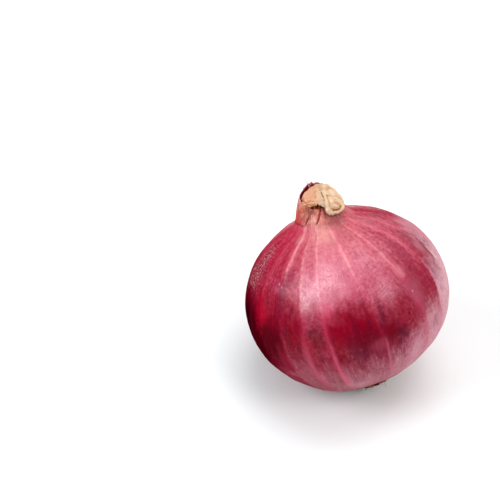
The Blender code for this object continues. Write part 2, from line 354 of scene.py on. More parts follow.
def grid_normals(points: np.ndarray) -> np.ndarray:
    """The outward directions of a closed grid whose rings run from the neck to the root.

    Args:
        points: Rings of points, as an array of rings by columns by 3.

    Returns:
        Directions of length 1, in an array of the same shape.
    """
    down = np.gradient(points, axis=0)
    around = np.roll(points, -1, axis=1) - np.roll(points, 1, axis=1)
    normals = np.cross(down, around)
    return normals / np.maximum(np.linalg.norm(normals, axis=-1, keepdims=True), 1e-9)


@dataclass(frozen=True)
class NeckCrease:
    """A sunk crease that runs down the neck's skin.

    Attributes:
        FULL_DEPTH: The depth from which a crease's painted shade is as dark as it gets.
        rim: Its angle round the axis at the neck's rim, in degrees.
        foot: Its angle at the foot of the neck.
        width: Its half width.
        depth: How deep it is.
        reach: The share of the neck's height, from the rim, that it runs down.
    """

    FULL_DEPTH: ClassVar[float] = 0.4
    rim: float
    foot: float
    width: float
    depth: float
    reach: float = 1.0


@dataclass
class BulbSkin:
    """The body in its dry red skin, drawn in to a short open neck with a torn collar.

    Attributes:
        radius: The body's radius.
        half_height: Half the body's height.
        lobes: Waves round the body, each with its share of the radius and its phase.
        veins: The number of veins.
        sways: Waves by which the veins are shifted, in shares of the space between two of them.
        columns_per_vein: Columns of points from one vein to the next.
        shoulder: The radius at which the body's round ends and the neck's fillet begins.
        neck_base: The height of the foot of the neck.
        neck_radius: The neck's radius there.
        neck_rim: The height of its rim at the front.
        neck_slope: How far the wall comes in for each step up.
        collar_slope: How far it comes in above the rim's height, at the collar.
        collar: How much higher than at the front the rim stands, at degrees round the axis.
        tuck: How far the rim is tucked in at the front.
        drift: The neck's sideways lean, times the square of the height over its foot.
        wall: The skin's thickness at the rim.
        wall_rings: Rings of points down the outside of the neck. The body and the fillet between have their own.
        inner_rings: Rings of points up the inside of the neck.
        inner_along: The degrees that the map of lanes gives to the first and the last of these.
        mouth_floor: The height of the floor inside the neck.
        floor_inset: How much smaller this floor is than the neck's radius.
        floor_rings: Its rings of points, each with its share of the floor's radius and how far it is above it.
        floor_along: The degrees that the map of lanes gives to the first and the last of these.
        root_radius: The radius of the opening round the root plate.
        root_lip: The width of the rounding at its edge.
        seat_depth: How deep the root plate's seat is.
        seat_along: The degrees that the map of lanes gives to the seat's rings.
        rim_along: The degrees from the neck that the map of lanes gives to the rim.
        foot_along: The degrees that it gives to the foot of the neck.
        tuck_heading: The side where the rim is tucked in most, in degrees round the axis.
        tears: The small tears of the rim.
        crest_height: How far a vein stands out.
        crest_width: Its half width.
        sag: How far the skin sinks between two veins.
        swells: The body's slow swells.
        sunk: How far the skin is set in for them.
        gather_depth: How deep the gathers round the neck are.
        gathers: The gathers.
        gather_stretch: How much a degree from the neck counts in them, in millimetres.
        puckers: The puckers round the root end.
        flat_heading: The side where the skin is flatter beside the roots.
        flat_depth: How much flatter it is.
        torn_along: The degrees from the neck at which an outer skin at the left is torn off.
        torn_waves: How that edge wanders.
        torn_height: How thick the outer skin is.
        torn_width: The half width of its edge.
        creases: The creases in the neck's front.
        thread_shapes: The threads on the collar, each with its foot, direction, bend, length and radius.
    """

    stance: Stance
    radius: float = 35.0
    half_height: float = 30.8
    lobes: tuple = ((2, 0.006, 0.6), (3, 0.005, -1.1), (5, 0.002, 2.0))
    veins: int = 24
    sways: tuple = ((2, 0.20, -0.52), (7, 0.07, 2.1))
    columns_per_vein: int = 16
    shoulder: float = 13.5
    neck_base: float = 32.3
    neck_radius: float = 8.6
    neck_rim: float = 35.8
    neck_slope: float = 0.42
    collar_slope: float = 0.22
    collar: tuple = (
        (0.0, 0.8), (20.0, 2.2), (40.0, 3.0), (60.0, 3.8), (80.0, 4.5), (95.0, 5.3), (120.0, 5.75), (140.0, 5.6),
        (150.0, 4.75), (160.0, 4.1), (180.0, 3.7), (192.0, 3.5), (205.0, 2.7), (220.0, 1.85), (235.0, 1.6),
        (247.0, 1.1), (258.0, 0.5), (272.0, 0.1), (290.0, 0.0), (330.0, 0.0), (345.0, 0.2), (360.0, 0.8),
    )
    tuck: float = 1.9
    drift: float = 0.012
    wall: float = 0.35
    wall_rings: int = 30
    fillet_rings: int = 24
    body_rings: int = 126
    inner_rings: int = 10
    inner_along: tuple = (-2.0, 4.8)
    mouth_floor: float = 31.6
    floor_inset: float = 2.6
    floor_rings: tuple = ((0.15, 0.0), (0.4, 0.0), (0.7, 0.2), (0.9, 0.6))
    floor_along: tuple = (-15.0, -3.0)
    root_radius: float = 9.25
    root_lip: float = 0.5
    seat_depth: float = 1.7
    seat_along: tuple = (166.0, 168.0, 172.0, 176.0)
    rim_along: float = 5.4
    foot_along: float = 11.9
    tuck_heading: float = 310.0
    tears: tuple = (Ripple(5, 2.6, 0.20), Ripple(6, 0.9, 0.14))
    crest_height: float = 0.06
    crest_width: float = 0.55
    sag: float = 0.02
    swells: Ripple = Ripple(21, 13.0, 0.10)
    sunk: float = 0.13
    gather_depth: float = 0.17
    gathers: tuple = (Ripple(31, 1.5, 0.6, 24), Ripple(32, 0.8, 0.4, 24))
    gather_stretch: float = 0.02
    puckers: Ripple = Ripple(33, 2.4, 0.14, 24)
    flat_heading: float = -30.0
    flat_depth: float = 0.75
    torn_along: float = 12.4
    torn_waves: tuple = (Ripple(41, 7.0, 0.5), Ripple(42, 1.6, 0.35))
    torn_height: float = 0.20
    torn_width: float = 0.55
    creases: tuple = (
        NeckCrease(-98.0, -116.0, 0.26, 0.50),
        NeckCrease(-72.0, -88.0, 0.28, 0.46),
        NeckCrease(-84.0, -97.0, 0.20, 0.08, 0.7),
        NeckCrease(-122.0, -133.0, 0.22, 0.12, 0.8),
        NeckCrease(-60.0, -66.0, 0.26, 0.14, 0.8),
    )
    thread_shapes: tuple = (
        ((-2.3, 3.9, 40.6), (-0.12, 0.10, 1.0), (-0.3, 0.1, 0.2), 3.2, 0.16),
        ((-2.2, 3.9, 40.8), (0.65, 0.10, 0.8), (0.3, 0.0, -0.4), 1.4, 0.13),
    )

    def vein_angles(self) -> np.ndarray:
        """The angle of each column of points round the axis.

        Returns:
            The angles, in radians.
        """
        turns = np.arange(self.veins * self.columns_per_vein) / (self.veins * self.columns_per_vein)
        sway = sum(size * np.sin(TAU * waves * turns + phase) for waves, size, phase in self.sways)
        return TAU * (turns + sway / self.veins)

    def rim_rise(self, angles: np.ndarray) -> np.ndarray:
        """How much higher than at the front the rim stands, with its small tears.

        Args:
            angles: Angles round the axis.

        Returns:
            A height for each of them.
        """
        degrees, rises = np.array(self.collar).T
        here = np.degrees(angles) % 360.0
        rise = sum(np.interp((here + step) % 360.0, degrees, rises) for step in (-6.0, -3.0, 0.0, 3.0, 6.0)) / 5.0
        torn = uneven(self.tears, self.neck_circle(angles))
        return rise + torn * (0.25 + 0.75 * smooth_step(1.0, 4.0, rise))

    def neck_circle(self, angles: np.ndarray) -> np.ndarray:
        """Points (x, y) on the circle round the foot of the neck."""
        return np.stack([np.cos(angles), np.sin(angles)], axis=-1) * self.neck_radius

    def neck_wall(self, angles: np.ndarray, shares: np.ndarray, inset: float) -> np.ndarray:
        """Points on the neck's wall.

        Args:
            angles: Angles round the axis, one for each column.
            shares: Shares of the way from the foot of the neck to its rim, one for each ring.
            inset: How far inside the outer surface they lie.

        Returns:
            Rings of points.
        """
        rise = self.rim_rise(angles)[None, :]
        share = shares[:, None]
        height = self.neck_base + share * (self.neck_rim - self.neck_base + rise)
        front = 0.5 + 0.5 * np.cos(angles - math.radians(self.tuck_heading))
        radius = self.neck_radius - self.neck_slope * share * (self.neck_rim - self.neck_base) - inset
        radius = radius - self.collar_slope * rise * share - self.tuck * share**2 * front[None, :]
        points = ring_points(angles, radius, height)
        points[..., 0] += self.drift * np.maximum(0.0, height - self.neck_base) ** 2
        return points

    def turned(self, angles: np.ndarray, radii: np.ndarray, heights: np.ndarray) -> np.ndarray:
        """Rings of points about the axis at radii and heights, with the body's slow swell.

        Args:
            angles: The angles round the axis.
            radii: The distances from the axis.
            heights: The heights.

        Returns:
            The points.
        """
        swell = sum(size * np.cos(waves * angles + phase) for waves, size, phase in self.lobes)
        radius = radii[:, None] * (1.0 + swell[None, :] * (radii[:, None] / self.radius) ** 2)
        return ring_points(angles, radius, heights[:, None])

    def fillet(self, count: int) -> tuple[np.ndarray, np.ndarray]:
        """The hollow curve from the foot of the neck to the body's round.

        Args:
            count: How many points it has.

        Returns:
            Their radii and their heights.
        """
        polar = math.asin(self.shoulder / self.radius)
        start = np.array((self.neck_radius, self.neck_base))
        end = np.array((self.shoulder, self.half_height * math.cos(polar)))
        along = np.array((math.cos(polar) * self.radius, -math.sin(polar) * self.half_height))
        reach = 0.4 * np.linalg.norm(end - start)
        down = np.array((self.neck_slope, -1.0)) / math.hypot(self.neck_slope, 1.0)
        second, third = start + reach * down, end - reach * along / np.linalg.norm(along)
        t = np.linspace(0.0, 1.0, count)[:, None]
        curve = (1 - t) ** 3 * start + 3 * t * (1 - t) ** 2 * second + 3 * t**2 * (1 - t) * third + t**3 * end
        return curve[:, 0], curve[:, 1]

    def relief(self, points: np.ndarray, along: np.ndarray, angles: np.ndarray) -> tuple[np.ndarray, dict]:
        """How far the skin stands out, and the marks that its shader reads.

        Args:
            points: Rings of points on the smooth outside, from the rim down.
            along: The rings' degrees from the neck.
            angles: The columns' angles round the axis.

        Returns:
            A distance for each point, and the marks crease and torn.
        """
        along = along[:, None]
        wrapped = ring_points(angles, self.neck_radius, along * self.gather_stretch)
        raised, torn = self._torn_skin(along, angles)
        out = self._body_relief(points, along)
        out = out + self.gather_depth * smooth_step(38.0, 11.0, along) * uneven(self.gathers, wrapped)
        out = out + self.puckers.at(wrapped) * smooth_step(148.0, 163.0, along)
        out = out - self._root_flat(along, np.degrees(angles)[None, :]) + raised
        sunk, crease = self._creased(points, along, np.degrees(angles)[None, :])
        return out - sunk, {"crease": crease, "torn": torn}

    def _body_relief(self, points: np.ndarray, along: np.ndarray) -> np.ndarray:
        """How far the veins, the slack between them and the slow swells make the body's skin stand out.

        Args:
            points: The smooth points.
            along: Their degrees from the neck.

        Returns:
            How far each rises.
        """
        place = np.arange(points.shape[1]) / self.columns_per_vein
        from_crest = np.abs(place - np.round(place))[None, :]
        distance = from_crest * np.hypot(points[..., 0], points[..., 1]) * TAU / self.veins
        grown = smooth_step(10.0, 24.0, along)
        slack = np.sin(math.pi * np.abs(place - np.floor(place)))[None, :]
        out = self.crest_height * grown * np.exp(-((distance / self.crest_width) ** 2))
        out = out - self.sag * grown * slack * smooth_step(175.0, 120.0, along)
        return out + (self.swells.at(points) - self.sunk) * grown

    def _root_flat(self, along: np.ndarray, degrees: np.ndarray) -> np.ndarray:
        """How much the skin is flattened beside the roots."""
        beside = smooth_step(112.0, 138.0, along) * smooth_step(163.0, 152.0, along)
        return self.flat_depth * beside * smooth_step(85.0, 35.0, np.abs(degrees_from(self.flat_heading, degrees)))

    def _torn_skin(self, along: np.ndarray, angles: np.ndarray) -> tuple[np.ndarray, np.ndarray]:
        """How far the outer skin at the left stands out, and the mark of its torn edge.

        Args:
            along: The points' degrees from the neck.
            angles: Their angles round the axis.

        Returns:
            How far each point rises, and how torn the skin is there.
        """
        degrees = np.degrees(angles)[None, :] % 360.0
        left = smooth_step(176.0, 192.0, degrees) * smooth_step(254.0, 232.0, degrees)
        past = along - (self.torn_along + uneven(self.torn_waves, self.neck_circle(angles)))[None, :]
        raised = self.torn_height * left * smooth_step(-0.4, 0.4, past) * smooth_step(26.0, 14.0, along)
        return raised, left * np.exp(-((past / self.torn_width) ** 2))

    def _creased(self, points: np.ndarray, along: np.ndarray, degrees: np.ndarray) -> tuple[np.ndarray, np.ndarray]:
        """How far the creases sink the neck's skin, and their mark.

        Args:
            points: The smooth points.
            along: Their degrees from the neck.
            degrees: Their degrees round the axis.

        Returns:
            How far each point sinks, and how deep in a crease it is.
        """
        radius = np.hypot(points[..., 0], points[..., 1])
        share = np.clip((self.foot_along - along) / (self.foot_along - self.rim_along), -0.6, 1.0)
        sunk, crease = np.zeros_like(radius), np.zeros_like(radius)
        for fold in self.creases:
            middle = fold.rim + (fold.foot - fold.rim) * (1.0 - share)
            aside = np.radians(degrees_from(middle, degrees)) * radius
            fading = smooth_step(1.0 - fold.reach - 0.35, 1.0 - fold.reach + 0.25, share)
            groove = np.exp(-((aside / fold.width) ** 2)) * fading
            sunk = sunk + fold.depth * groove
            crease = np.maximum(crease, groove * min(1.0, fold.depth / NeckCrease.FULL_DEPTH))
        return sunk, crease

    def build(self) -> bpy.types.Object:
        """Builds the skin.

        Returns:
            The object.
        """
        angles = self.vein_angles()
        shoulder = math.asin(self.shoulder / self.radius)
        root = math.pi - math.asin((self.root_radius + self.root_lip) / self.radius)
        wall = self.neck_wall(angles, np.linspace(1.0, 0.0, self.wall_rings), 0.0)
        radii, heights = self.fillet(self.fillet_rings)
        fillet = self.turned(angles, radii[1:], heights[1:])
        polar = np.linspace(shoulder, root, self.body_rings)[1:]
        body = self.turned(angles, self.radius * np.sin(polar), self.half_height * np.cos(polar))
        outside = np.concatenate([wall, fillet, body])
        along = np.concatenate([
            np.linspace(self.rim_along, self.foot_along, len(wall)),
            np.linspace(self.foot_along, math.degrees(shoulder), len(radii))[1:], np.degrees(polar),
        ])
        out, marks = self.relief(outside, along, angles)
        outside = outside + grid_normals(outside) * out[..., None]

        within = self._within(angles, outside[0])
        seat = self._seat(angles, self.half_height * math.cos(root))
        spread = {
            name: np.concatenate([np.zeros((len(within), len(angles))), values, np.zeros((len(seat), len(angles)))])
            for name, values in marks.items()
        }
        full_along = np.concatenate([
            np.linspace(*self.floor_along, len(self.floor_rings)), np.linspace(*self.inner_along, self.inner_rings),
            along, self.seat_along,
        ])
        skin = SkinMesh("bulb_skin", self.stance)
        points = np.concatenate([within, outside, seat])
        skin.add_grid(points, spread, (full_along - MAP_START) / MAP_SPAN, (True, True))
        return skin.make()

    def _within(self, angles: np.ndarray, rim: np.ndarray) -> np.ndarray:
        """The rings on the floor inside the neck, and the ones up its inner wall to the rim.

        Args:
            angles: The angles round the axis.
            rim: The rim's points.

        Returns:
            The rings of points.
        """
        inner = self.neck_wall(angles, np.linspace(0.0, 1.0, self.inner_rings), self.wall)
        inner[-1] = 0.5 * (inner[-1] + rim) + (0.0, 0.0, 0.08)
        shares, rises = np.array(self.floor_rings).T
        floor = self.turned(angles, shares * (self.neck_radius - self.floor_inset), rises + self.mouth_floor)
        return np.concatenate([floor, inner])

    def _seat(self, angles: np.ndarray, edge: float) -> np.ndarray:
        """Four rings from the edge of the root end into the root plate's seat.

        Args:
            angles: The angles round the axis.
            edge: The height of the seat's edge.

        Returns:
            The rings of points.
        """
        seat = -self.half_height + self.seat_depth
        radii = np.array([self.root_radius + 0.08, self.root_radius, self.root_radius, self.root_radius * 0.5])
        return self.turned(angles, radii, np.array([edge - 0.12, edge + 0.3, seat, seat]))

    def threads(self) -> bpy.types.Object:
        """Builds the pale dry threads that stand on the collar.

        Returns:
            The object.
        """
        made = SkinMesh("collar_threads", self.stance)
        for foot, way, bend, length, radius in self.thread_shapes:
            made.add_strand(np.array(foot), unit(way), np.array(bend), length, radius, 0.4, 6, 10, {})
        return made.make()


@dataclass(frozen=True)
class HoodFold:
    """A crease or a swelling that runs over the hood.

    Attributes:
        path: Points on the hood that it runs through, each with its share of the way round and its degrees
            from the top.
        width: Its half width.
        depth: How deep it is, or how high where this is below 0.
        dark: How much it darkens the sheath: painted shade, with some brown of the crease itself.
    """

    path: tuple
    width: float
    depth: float
    dark: float = 0.0


@dataclass
class NeckHood:
    """The dried leaf sheath: a papery hood that stands in the neck and hangs over its rim to the right.

    Attributes:
        edge: Points round its edge (x, y, height), from the right and counterclockwise.
        top: Its highest point.
        columns: Columns of points round it.
        rings: Rings of points from its edge to its top.
        hollow_rings: Rings of points from its edge up its hollow inside.
        thickness: The sheath's thickness at its edge.
        edge_drop: How far the middle of its edge is rounded down.
        left_flat: Where round the hood its left side is flatter than a dome, and how far round this reaches.
        right_flat: The same for its right side, and how flat that is beside the left.
        straight_across: How far from a round to a straight slope the left side goes, measured across.
        straight_down: The same, measured down.
        crumples: Its uneven swells.
        ridges: The swells whose middles stand up as ridges, and how high these are.
        tears: How ragged its edge is.
        stem_middle: The middle (x, y) of the withered leaves that it stands on.
        stem_radius: Their radius.
        stem_foot: The height of their foot.
        stem_gap: How far their top is below the hood's.
        stem_narrowing: How much they narrow, and the heights between which they do.
        stem_waves: How uneven they are.
        folds: The creases and swellings on it.
    """

    stance: Stance
    edge: tuple = (
        (9.0, -0.3, 34.3), (8.2, 2.0, 35.2), (6.6, 3.6, 36.6), (4.4, 4.2, 37.8), (1.8, 4.0, 38.4), (-1.0, 3.2, 38.6),
        (-3.5, 2.3, 38.4), (-5.1, 0.8, 38.0), (-5.7, -0.9, 37.4), (-5.4, -2.4, 36.8), (-4.1, -3.7, 36.3),
        (-2.2, -4.4, 36.8), (-0.4, -4.8, 37.3), (1.2, -5.0, 37.4), (2.6, -5.3, 37.0), (3.3, -5.7, 36.4),
        (3.8, -6.2, 35.5), (4.3, -6.8, 34.4), (5.1, -7.1, 33.8), (6.2, -6.8, 33.6), (7.4, -5.9, 33.4),
        (8.4, -4.6, 33.4), (9.1, -2.6, 33.7),
    )
    top: tuple = (2.0, 0.6, 42.2)
    columns: int = 320
    rings: int = 78
    hollow_rings: int = 40
    thickness: float = 0.40
    edge_drop: float = 0.12
    left_flat: tuple = (0.44, 0.16)
    right_flat: tuple = (0.06, 0.12, 0.55)
    straight_across: float = 0.75
    straight_down: float = 0.45
    crumples: tuple = (Ripple(51, 3.4, 0.12), Ripple(52, 1.3, 0.06))
    ridges: tuple = ((Ripple(53, 4.2, waves=10), 0.07), (Ripple(54, 2.0, waves=12), 0.05))
    tears: tuple = (Ripple(61, 1.3, 0.20), Ripple(62, 0.5, 0.17))
    stem_middle: tuple = (0.6, -0.4)
    stem_radius: float = 3.6
    stem_foot: float = 32.0
    stem_gap: float = 3.2
    stem_narrowing: tuple = (0.3, 37.0, 39.5)
    stem_waves: tuple = (Ripple(71, 1.9, 0.42), Ripple(72, 0.8, 0.18))
    folds: tuple = (
        HoodFold(((0.087, 1), (0.845, 12), (0.787, 24), (0.738, 36), (0.726, 41)), 0.30, 0.14, 0.15),
        HoodFold(((0.726, 36), (0.722, 43), (0.750, 47)), 0.28, 0.26, 0.80),
        HoodFold(((0.750, 47), (0.747, 55), (0.708, 68), (0.683, 84)), 0.40, 0.30, 0.25),
        HoodFold(((0.830, 44), (0.869, 48)), 0.26, 0.16, 0.60),
        HoodFold(((0.833, 46), (0.826, 55), (0.821, 62), (0.811, 70), (0.815, 75), (0.838, 80)), 0.34, 0.34, 0.40),
        HoodFold(((0.838, 80), (0.868, 82), (0.900, 83), (0.924, 80)), 0.34, 0.38, 0.85),
        HoodFold(((0.883, 64), (0.903, 70), (0.920, 77)), 0.75, 0.16, 0.40),
        HoodFold(((0.857, 62), (0.853, 71), (0.874, 75)), 0.60, -0.36),
        HoodFold(((0.781, 54), (0.769, 66), (0.760, 78)), 0.55, -0.30),
        HoodFold(
            ((0.745, 79), (0.774, 84), (0.813, 86), (0.856, 87), (0.896, 88), (0.933, 87), (0.963, 87)), 0.42, -0.26
        ),
        HoodFold(((0.512, 39), (0.549, 37)), 0.55, 0.08, 0.40),
        HoodFold(((0.481, 56), (0.518, 52), (0.553, 48)), 0.24, 0.10, 0.22),
        HoodFold(((0.330, 84), (0.345, 82), (0.372, 72), (0.408, 68)), 0.22, 0.30, 0.85),
        HoodFold(((0.415, 74), (0.442, 70), (0.465, 69), (0.487, 69), (0.527, 74)), 0.24, 0.26, 0.50),
        HoodFold(((0.448, 83), (0.469, 79), (0.486, 83), (0.505, 89)), 0.22, 0.24, 0.50),
        HoodFold(((0.372, 80), (0.400, 76), (0.418, 78)), 0.45, -0.34),
        HoodFold(((0.441, 77), (0.477, 75), (0.513, 80), (0.560, 84), (0.622, 84)), 0.35, -0.20),
    )

    def edge_at(self, turns: np.ndarray) -> np.ndarray:
        """The smooth edge at shares of the way round.

        Args:
            turns: Places round the hood, from 0 to 1.

        Returns:
            The points of its edge there.
        """
        points = np.array(self.edge)
        place = np.asarray(turns, float) * len(points)
        index = np.floor(place).astype(int)
        share = (place - index)[..., None]
        before, here, there, after = (points[(index + offset) % len(points)] for offset in (-1, 0, 1, 2))
        straight = here + (there - here) * share * share * (3.0 - 2.0 * share)
        leaving = 0.5 * (there - before) * share * (1.0 - share) ** 2
        return straight + leaving - 0.5 * (after - here) * share**2 * (1.0 - share)

    def at(self, turns: np.ndarray, polar: np.ndarray) -> np.ndarray:
        """Points on the hood's plain form.

        Args:
            turns: Shares of the way round.
            polar: Degrees down from the top, 90 at the edge, in an array of the same shape.

        Returns:
            The points.
        """
        edge, top = self.edge_at(turns), np.array(self.top)
        angle = np.radians(polar)
        left_middle, left_reach = self.left_flat
        right_middle, right_reach, right_share = self.right_flat
        left = np.exp(-(((turns - left_middle) / left_reach) ** 2))
        right = np.exp(-((((turns - right_middle + 0.5) % 1.0 - 0.5) / right_reach) ** 2))
        flat = np.maximum(left, right_share * right)
        wide, deep = self.straight_across * flat, self.straight_down * flat
        across = np.sin(angle) * (1.0 - wide) + polar / 90.0 * wide
        down = np.cos(angle) * (1.0 - deep) + (1.0 - polar / 90.0) * deep
        share = np.stack([across, across, 1.0 - down], axis=-1)
        return top + (edge - top) * share

    def sculpt(self, points: np.ndarray, normals: np.ndarray) -> tuple[np.ndarray, np.ndarray]:
        """Crumples the plain form and presses the folds into it.

        Args:
            points: Rings of points on the plain form.
            normals: The outward directions there.

        Returns:
            The new points, and how dark the folds and the crumples' hollows make each: painted shade, with some brown
            of the creases.
        """
        out = uneven(self.crumples, points)
        for ripple, height in self.ridges:
            out = out + height * (1.0 - 2.0 * np.abs(ripple.at(points)))
        # Painted shade in the hollows where the crumples sink in.
        dark = 0.4 * smooth_step(0.0, -0.24, out)
        for fold in self.folds:
            path = np.array(fold.path)
            line = self.at(path[:, 0], path[:, 1])
            nearest = np.full(out.shape, 1e9)
            for start, end in zip(line, line[1:]):
                run = end - start
                share = np.clip(((points - start) @ run) / (run @ run), 0.0, 1.0)
                nearest = np.minimum(nearest, np.linalg.norm(points - start - share[..., None] * run, axis=-1))
            groove = np.exp(-((nearest / fold.width) ** 2))
            out = out - fold.depth * groove
            dark = np.maximum(dark, fold.dark * groove)
        return points + normals * out[..., None], dark

    def build(self) -> bpy.types.Object:
        """Builds the hood.

        Returns:
            The object.
        """
        turns = np.arange(self.columns)[None, :] / self.columns + np.zeros((self.rings, 1))
        polar = np.linspace(2.0, 90.0, self.rings)[:, None] + np.zeros((1, self.columns))
        plain = self.at(turns, polar)
        normals = grid_normals(plain)
        outside, dark = self.sculpt(plain, normals)
        outside[..., 2] += uneven(self.tears, self.edge_at(turns[:1])) * smooth_step(70.0, 90.0, polar)
        inside = outside[::-1] - normals[::-1] * self.thickness
        lip = 0.5 * (outside[-1:] + inside[:1]) - (0.0, 0.0, self.edge_drop)
        count = self.hollow_rings
        points = np.concatenate([outside, lip, inside[:count]])
        shade = np.concatenate([dark, dark[-1:], dark[::-1][:count]])
        # How far up the hollow inside a point lies; the sheath's shader darkens the inside by it, as painted shade.
        within = np.concatenate([np.zeros((self.rings + 1, 1)), np.linspace(0.3, 1.0, count)[:, None]])
        hood = SkinMesh("neck_hood", self.stance)
        along = np.concatenate([polar[:, 0], [91.0], np.linspace(92.0, 120.0, count)]) / 120.0
        hood.add_grid(points, {"fold": shade, "within": within}, along, (True, False))
        self._add_stem(hood)
        return hood.make()

    def _add_stem(self, hood: SkinMesh) -> None:
        """Adds the withered leaves under the hood, on which it stands.

        Args:
            hood: The mesh that they are added to.
        """
        columns, count = 96, 22
        angles = np.arange(columns) / columns * TAU
        heights = np.linspace(self.stem_foot, self.top[2] - self.stem_gap, count)[:, None]
        radius = self.stem_radius + uneven(self.stem_waves, ring_points(angles, 5.0, heights * 0.12))
        narrowing, low, high = self.stem_narrowing
        points = ring_points(angles, radius * (1.0 - narrowing * smooth_step(low, high, heights)), heights)
        points[..., :2] += self.stem_middle
        # The withered leaves take the inside tint: ochre, going near black to the right as painted shade in the gap
        # under the hood.
        marks = {"fold": np.zeros((count, 1)), "within": np.full((count, 1), 0.8)}
        hood.add_grid(points[::-1], marks, None, (True, True))


@dataclass
class RootTuft:
    """The root plate with its broken dried roots.

    Attributes:
        radius: The plate's radius.
        top: The height of its hidden upper side.
        edge: The height at which its domed underside begins.
        dome: How far the underside bulges.
        uneven_waves: How uneven the underside is.
        stubs: The number of broken roots.
        stub_radii: The thinnest and the thickest of them.
        threads: The number of thin dry threads among them.
        thread_radii: The thinnest and the thickest of these.
        frays: The number of dark broken ends round the plate's rim.
        fray_radii: The thinnest and the thickest of these.
        seen_frays: Thick ends that lie along the rim, each with its heading, length, radius and redness.
        seed: The seed of everything drawn at random.
    """

    stance: Stance
    radius: float = 8.9
    top: float = -29.45
    edge: float = -30.2
    dome: float = 1.1
    uneven_waves: tuple = (Ripple(81, 1.7, 0.14), Ripple(82, 0.7, 0.08))
    stubs: int = 190
    stub_radii: tuple = (0.32, 0.55)
    threads: int = 46
    thread_radii: tuple = (0.09, 0.17)
    frays: int = 130
    fray_radii: tuple = (0.16, 0.36)
    seen_frays: tuple = (
        (-98.0, 2.6, 0.42, 1.0), (-94.0, 2.3, 0.36, 1.0), (-82.0, 2.5, 0.40, 1.0), (-77.0, 2.6, 0.42, 1.0),
        (-62.0, 2.5, 0.40, 0.8), (-54.0, 2.0, 0.20, 0.7), (-42.0, 2.0, 0.18, 0.7),
    )
    seed: int = 17

    def surface(self, reach: np.ndarray) -> np.ndarray:
        """The height of the underside at shares of the radius."""
        return self.edge - self.dome * np.sqrt(np.maximum(0.0, 1.0 - 0.8 * reach**2))

    def plate(self) -> bpy.types.Object:
        """Builds the plate.

        Returns:
            The object.
        """
        columns, count = 120, 22
        angles = np.arange(columns) / columns * TAU
        shares = np.linspace(1.0, 0.05, count)
        radii = np.concatenate([[self.radius - 0.3, self.radius], shares * self.radius])
        heights = np.concatenate([[self.top, self.top - 0.3], self.surface(shares)])
        points = ring_points(angles, radii[:, None], heights[:, None])
        points[2:, :, 2] += uneven(self.uneven_waves, points)[2:]
        made = SkinMesh("root_plate", self.stance)
        values = {"shade": 0.25, "tip": 0.0, "rust": 0.0}
        marks = {name: np.full((len(radii), 1), value) for name, value in values.items()}
        made.add_grid(points, marks, None, (True, True))
        return made.make()

    def roots(self) -> bpy.types.Object:
        """Builds the broken roots, the threads and the frays, by a seeded rule.

        Returns:
            The object.
        """
        draw = np.random.default_rng(self.seed)
        made = SkinMesh("root_stubs", self.stance)
        self._add_stubs(made, draw)
        self._add_threads(made, draw)
        self._add_frays(made, draw)
        self._add_seen_frays(made)
        return made.make()

    def _add_stubs(self, made: SkinMesh, draw: np.random.Generator) -> None:
        """Adds the broken roots, spread over the plate in a spiral.

        Args:
            made: The mesh that they are added to.
            draw: What draws at random.
        """
        for number in range(self.stubs):
            reach = math.sqrt((number + 0.5) / self.stubs)
            away = level_way(number * GOLDEN_ANGLE + draw.normal(0.0, 0.05))
            foot = away * ((self.radius - 0.55) * reach) + (0.0, 0.0, float(self.surface(np.array(reach))) + 0.5)
            way = np.array((0.0, 0.0, -1.0)) + 0.6 * reach**3 * away + draw.normal(0.0, 0.22, 3) * (1.0, 1.0, 0.2)
            length = 0.6 + draw.uniform(0.9, 2.3) * (1.0 - 0.5 * reach**2)
            made.add_strand(
                foot, unit(way), draw.normal(0.0, 0.30, 3), length, draw.uniform(*self.stub_radii),
                draw.uniform(0.45, 0.9), 7, 5, {"shade": draw.uniform(), "rust": 0.0}, "tip",
            )

    def _add_threads(self, made: SkinMesh, draw: np.random.Generator) -> None:
        """Adds the thin dry threads among the stubs.

        Args:
            made: The mesh that they are added to.
            draw: What draws at random.
        """
        for _ in range(self.threads):
            heading, reach = draw.uniform(0.0, TAU), math.sqrt(draw.uniform(0.15, 1.0))
            away = level_way(heading)
            foot = away * (self.radius - 0.6) * reach + (0.0, 0.0, float(self.surface(np.array(reach))))
            way = np.array((0.0, 0.0, -0.8)) + 0.9 * reach * away + draw.normal(0.0, 0.4, 3)
            made.add_strand(
                foot, unit(way), draw.normal(0.0, 0.9, 3), draw.uniform(1.6, 3.4),
                draw.uniform(*self.thread_radii), 0.35, 5, 9, {"shade": draw.uniform(), "rust": 0.0}, "tip",
            )

    def _add_frays(self, made: SkinMesh, draw: np.random.Generator) -> None:
        """Adds the dark broken ends round the rim.

        Args:
            made: The mesh that they are added to.
            draw: What draws at random.
        """
        for number in range(self.frays):
            away = level_way((number + draw.uniform()) / self.frays * TAU)
            foot = away * (self.radius - 0.2) + (0.0, 0.0, self.edge - draw.uniform(0.0, 0.3))
            way = away * draw.uniform(0.6, 1.0) + (0.0, 0.0, -0.35) + draw.normal(0.0, 0.25, 3)
            made.add_strand(
                foot, unit(way), draw.normal(0.0, 0.4, 3), draw.uniform(0.6, 1.4), draw.uniform(*self.fray_radii),
                draw.uniform(0.4, 0.9), 6, 5, {"shade": draw.uniform(), "rust": draw.uniform(0.6, 1.0)}, "tip",
            )

    def _add_seen_frays(self, made: SkinMesh) -> None:
        """Adds the thick ends that lie along the rim where the camera sees it.

        Args:
            made: The mesh that they are added to.
        """
        for heading, length, thickness, rust in self.seen_frays:
            turn = math.radians(heading)
            away, beside = level_way(turn), level_way(turn + 0.25 * TAU)
            foot = away * (self.radius - 0.2) + (0.0, 0.0, self.edge - 0.1)
            made.add_strand(
                foot, away * 0.91 + beside * 0.41, beside * 1.3 - away * 0.5, length, thickness, 0.9, 7, 9,
                {"shade": 0.9, "rust": rust}, "tip",
            )


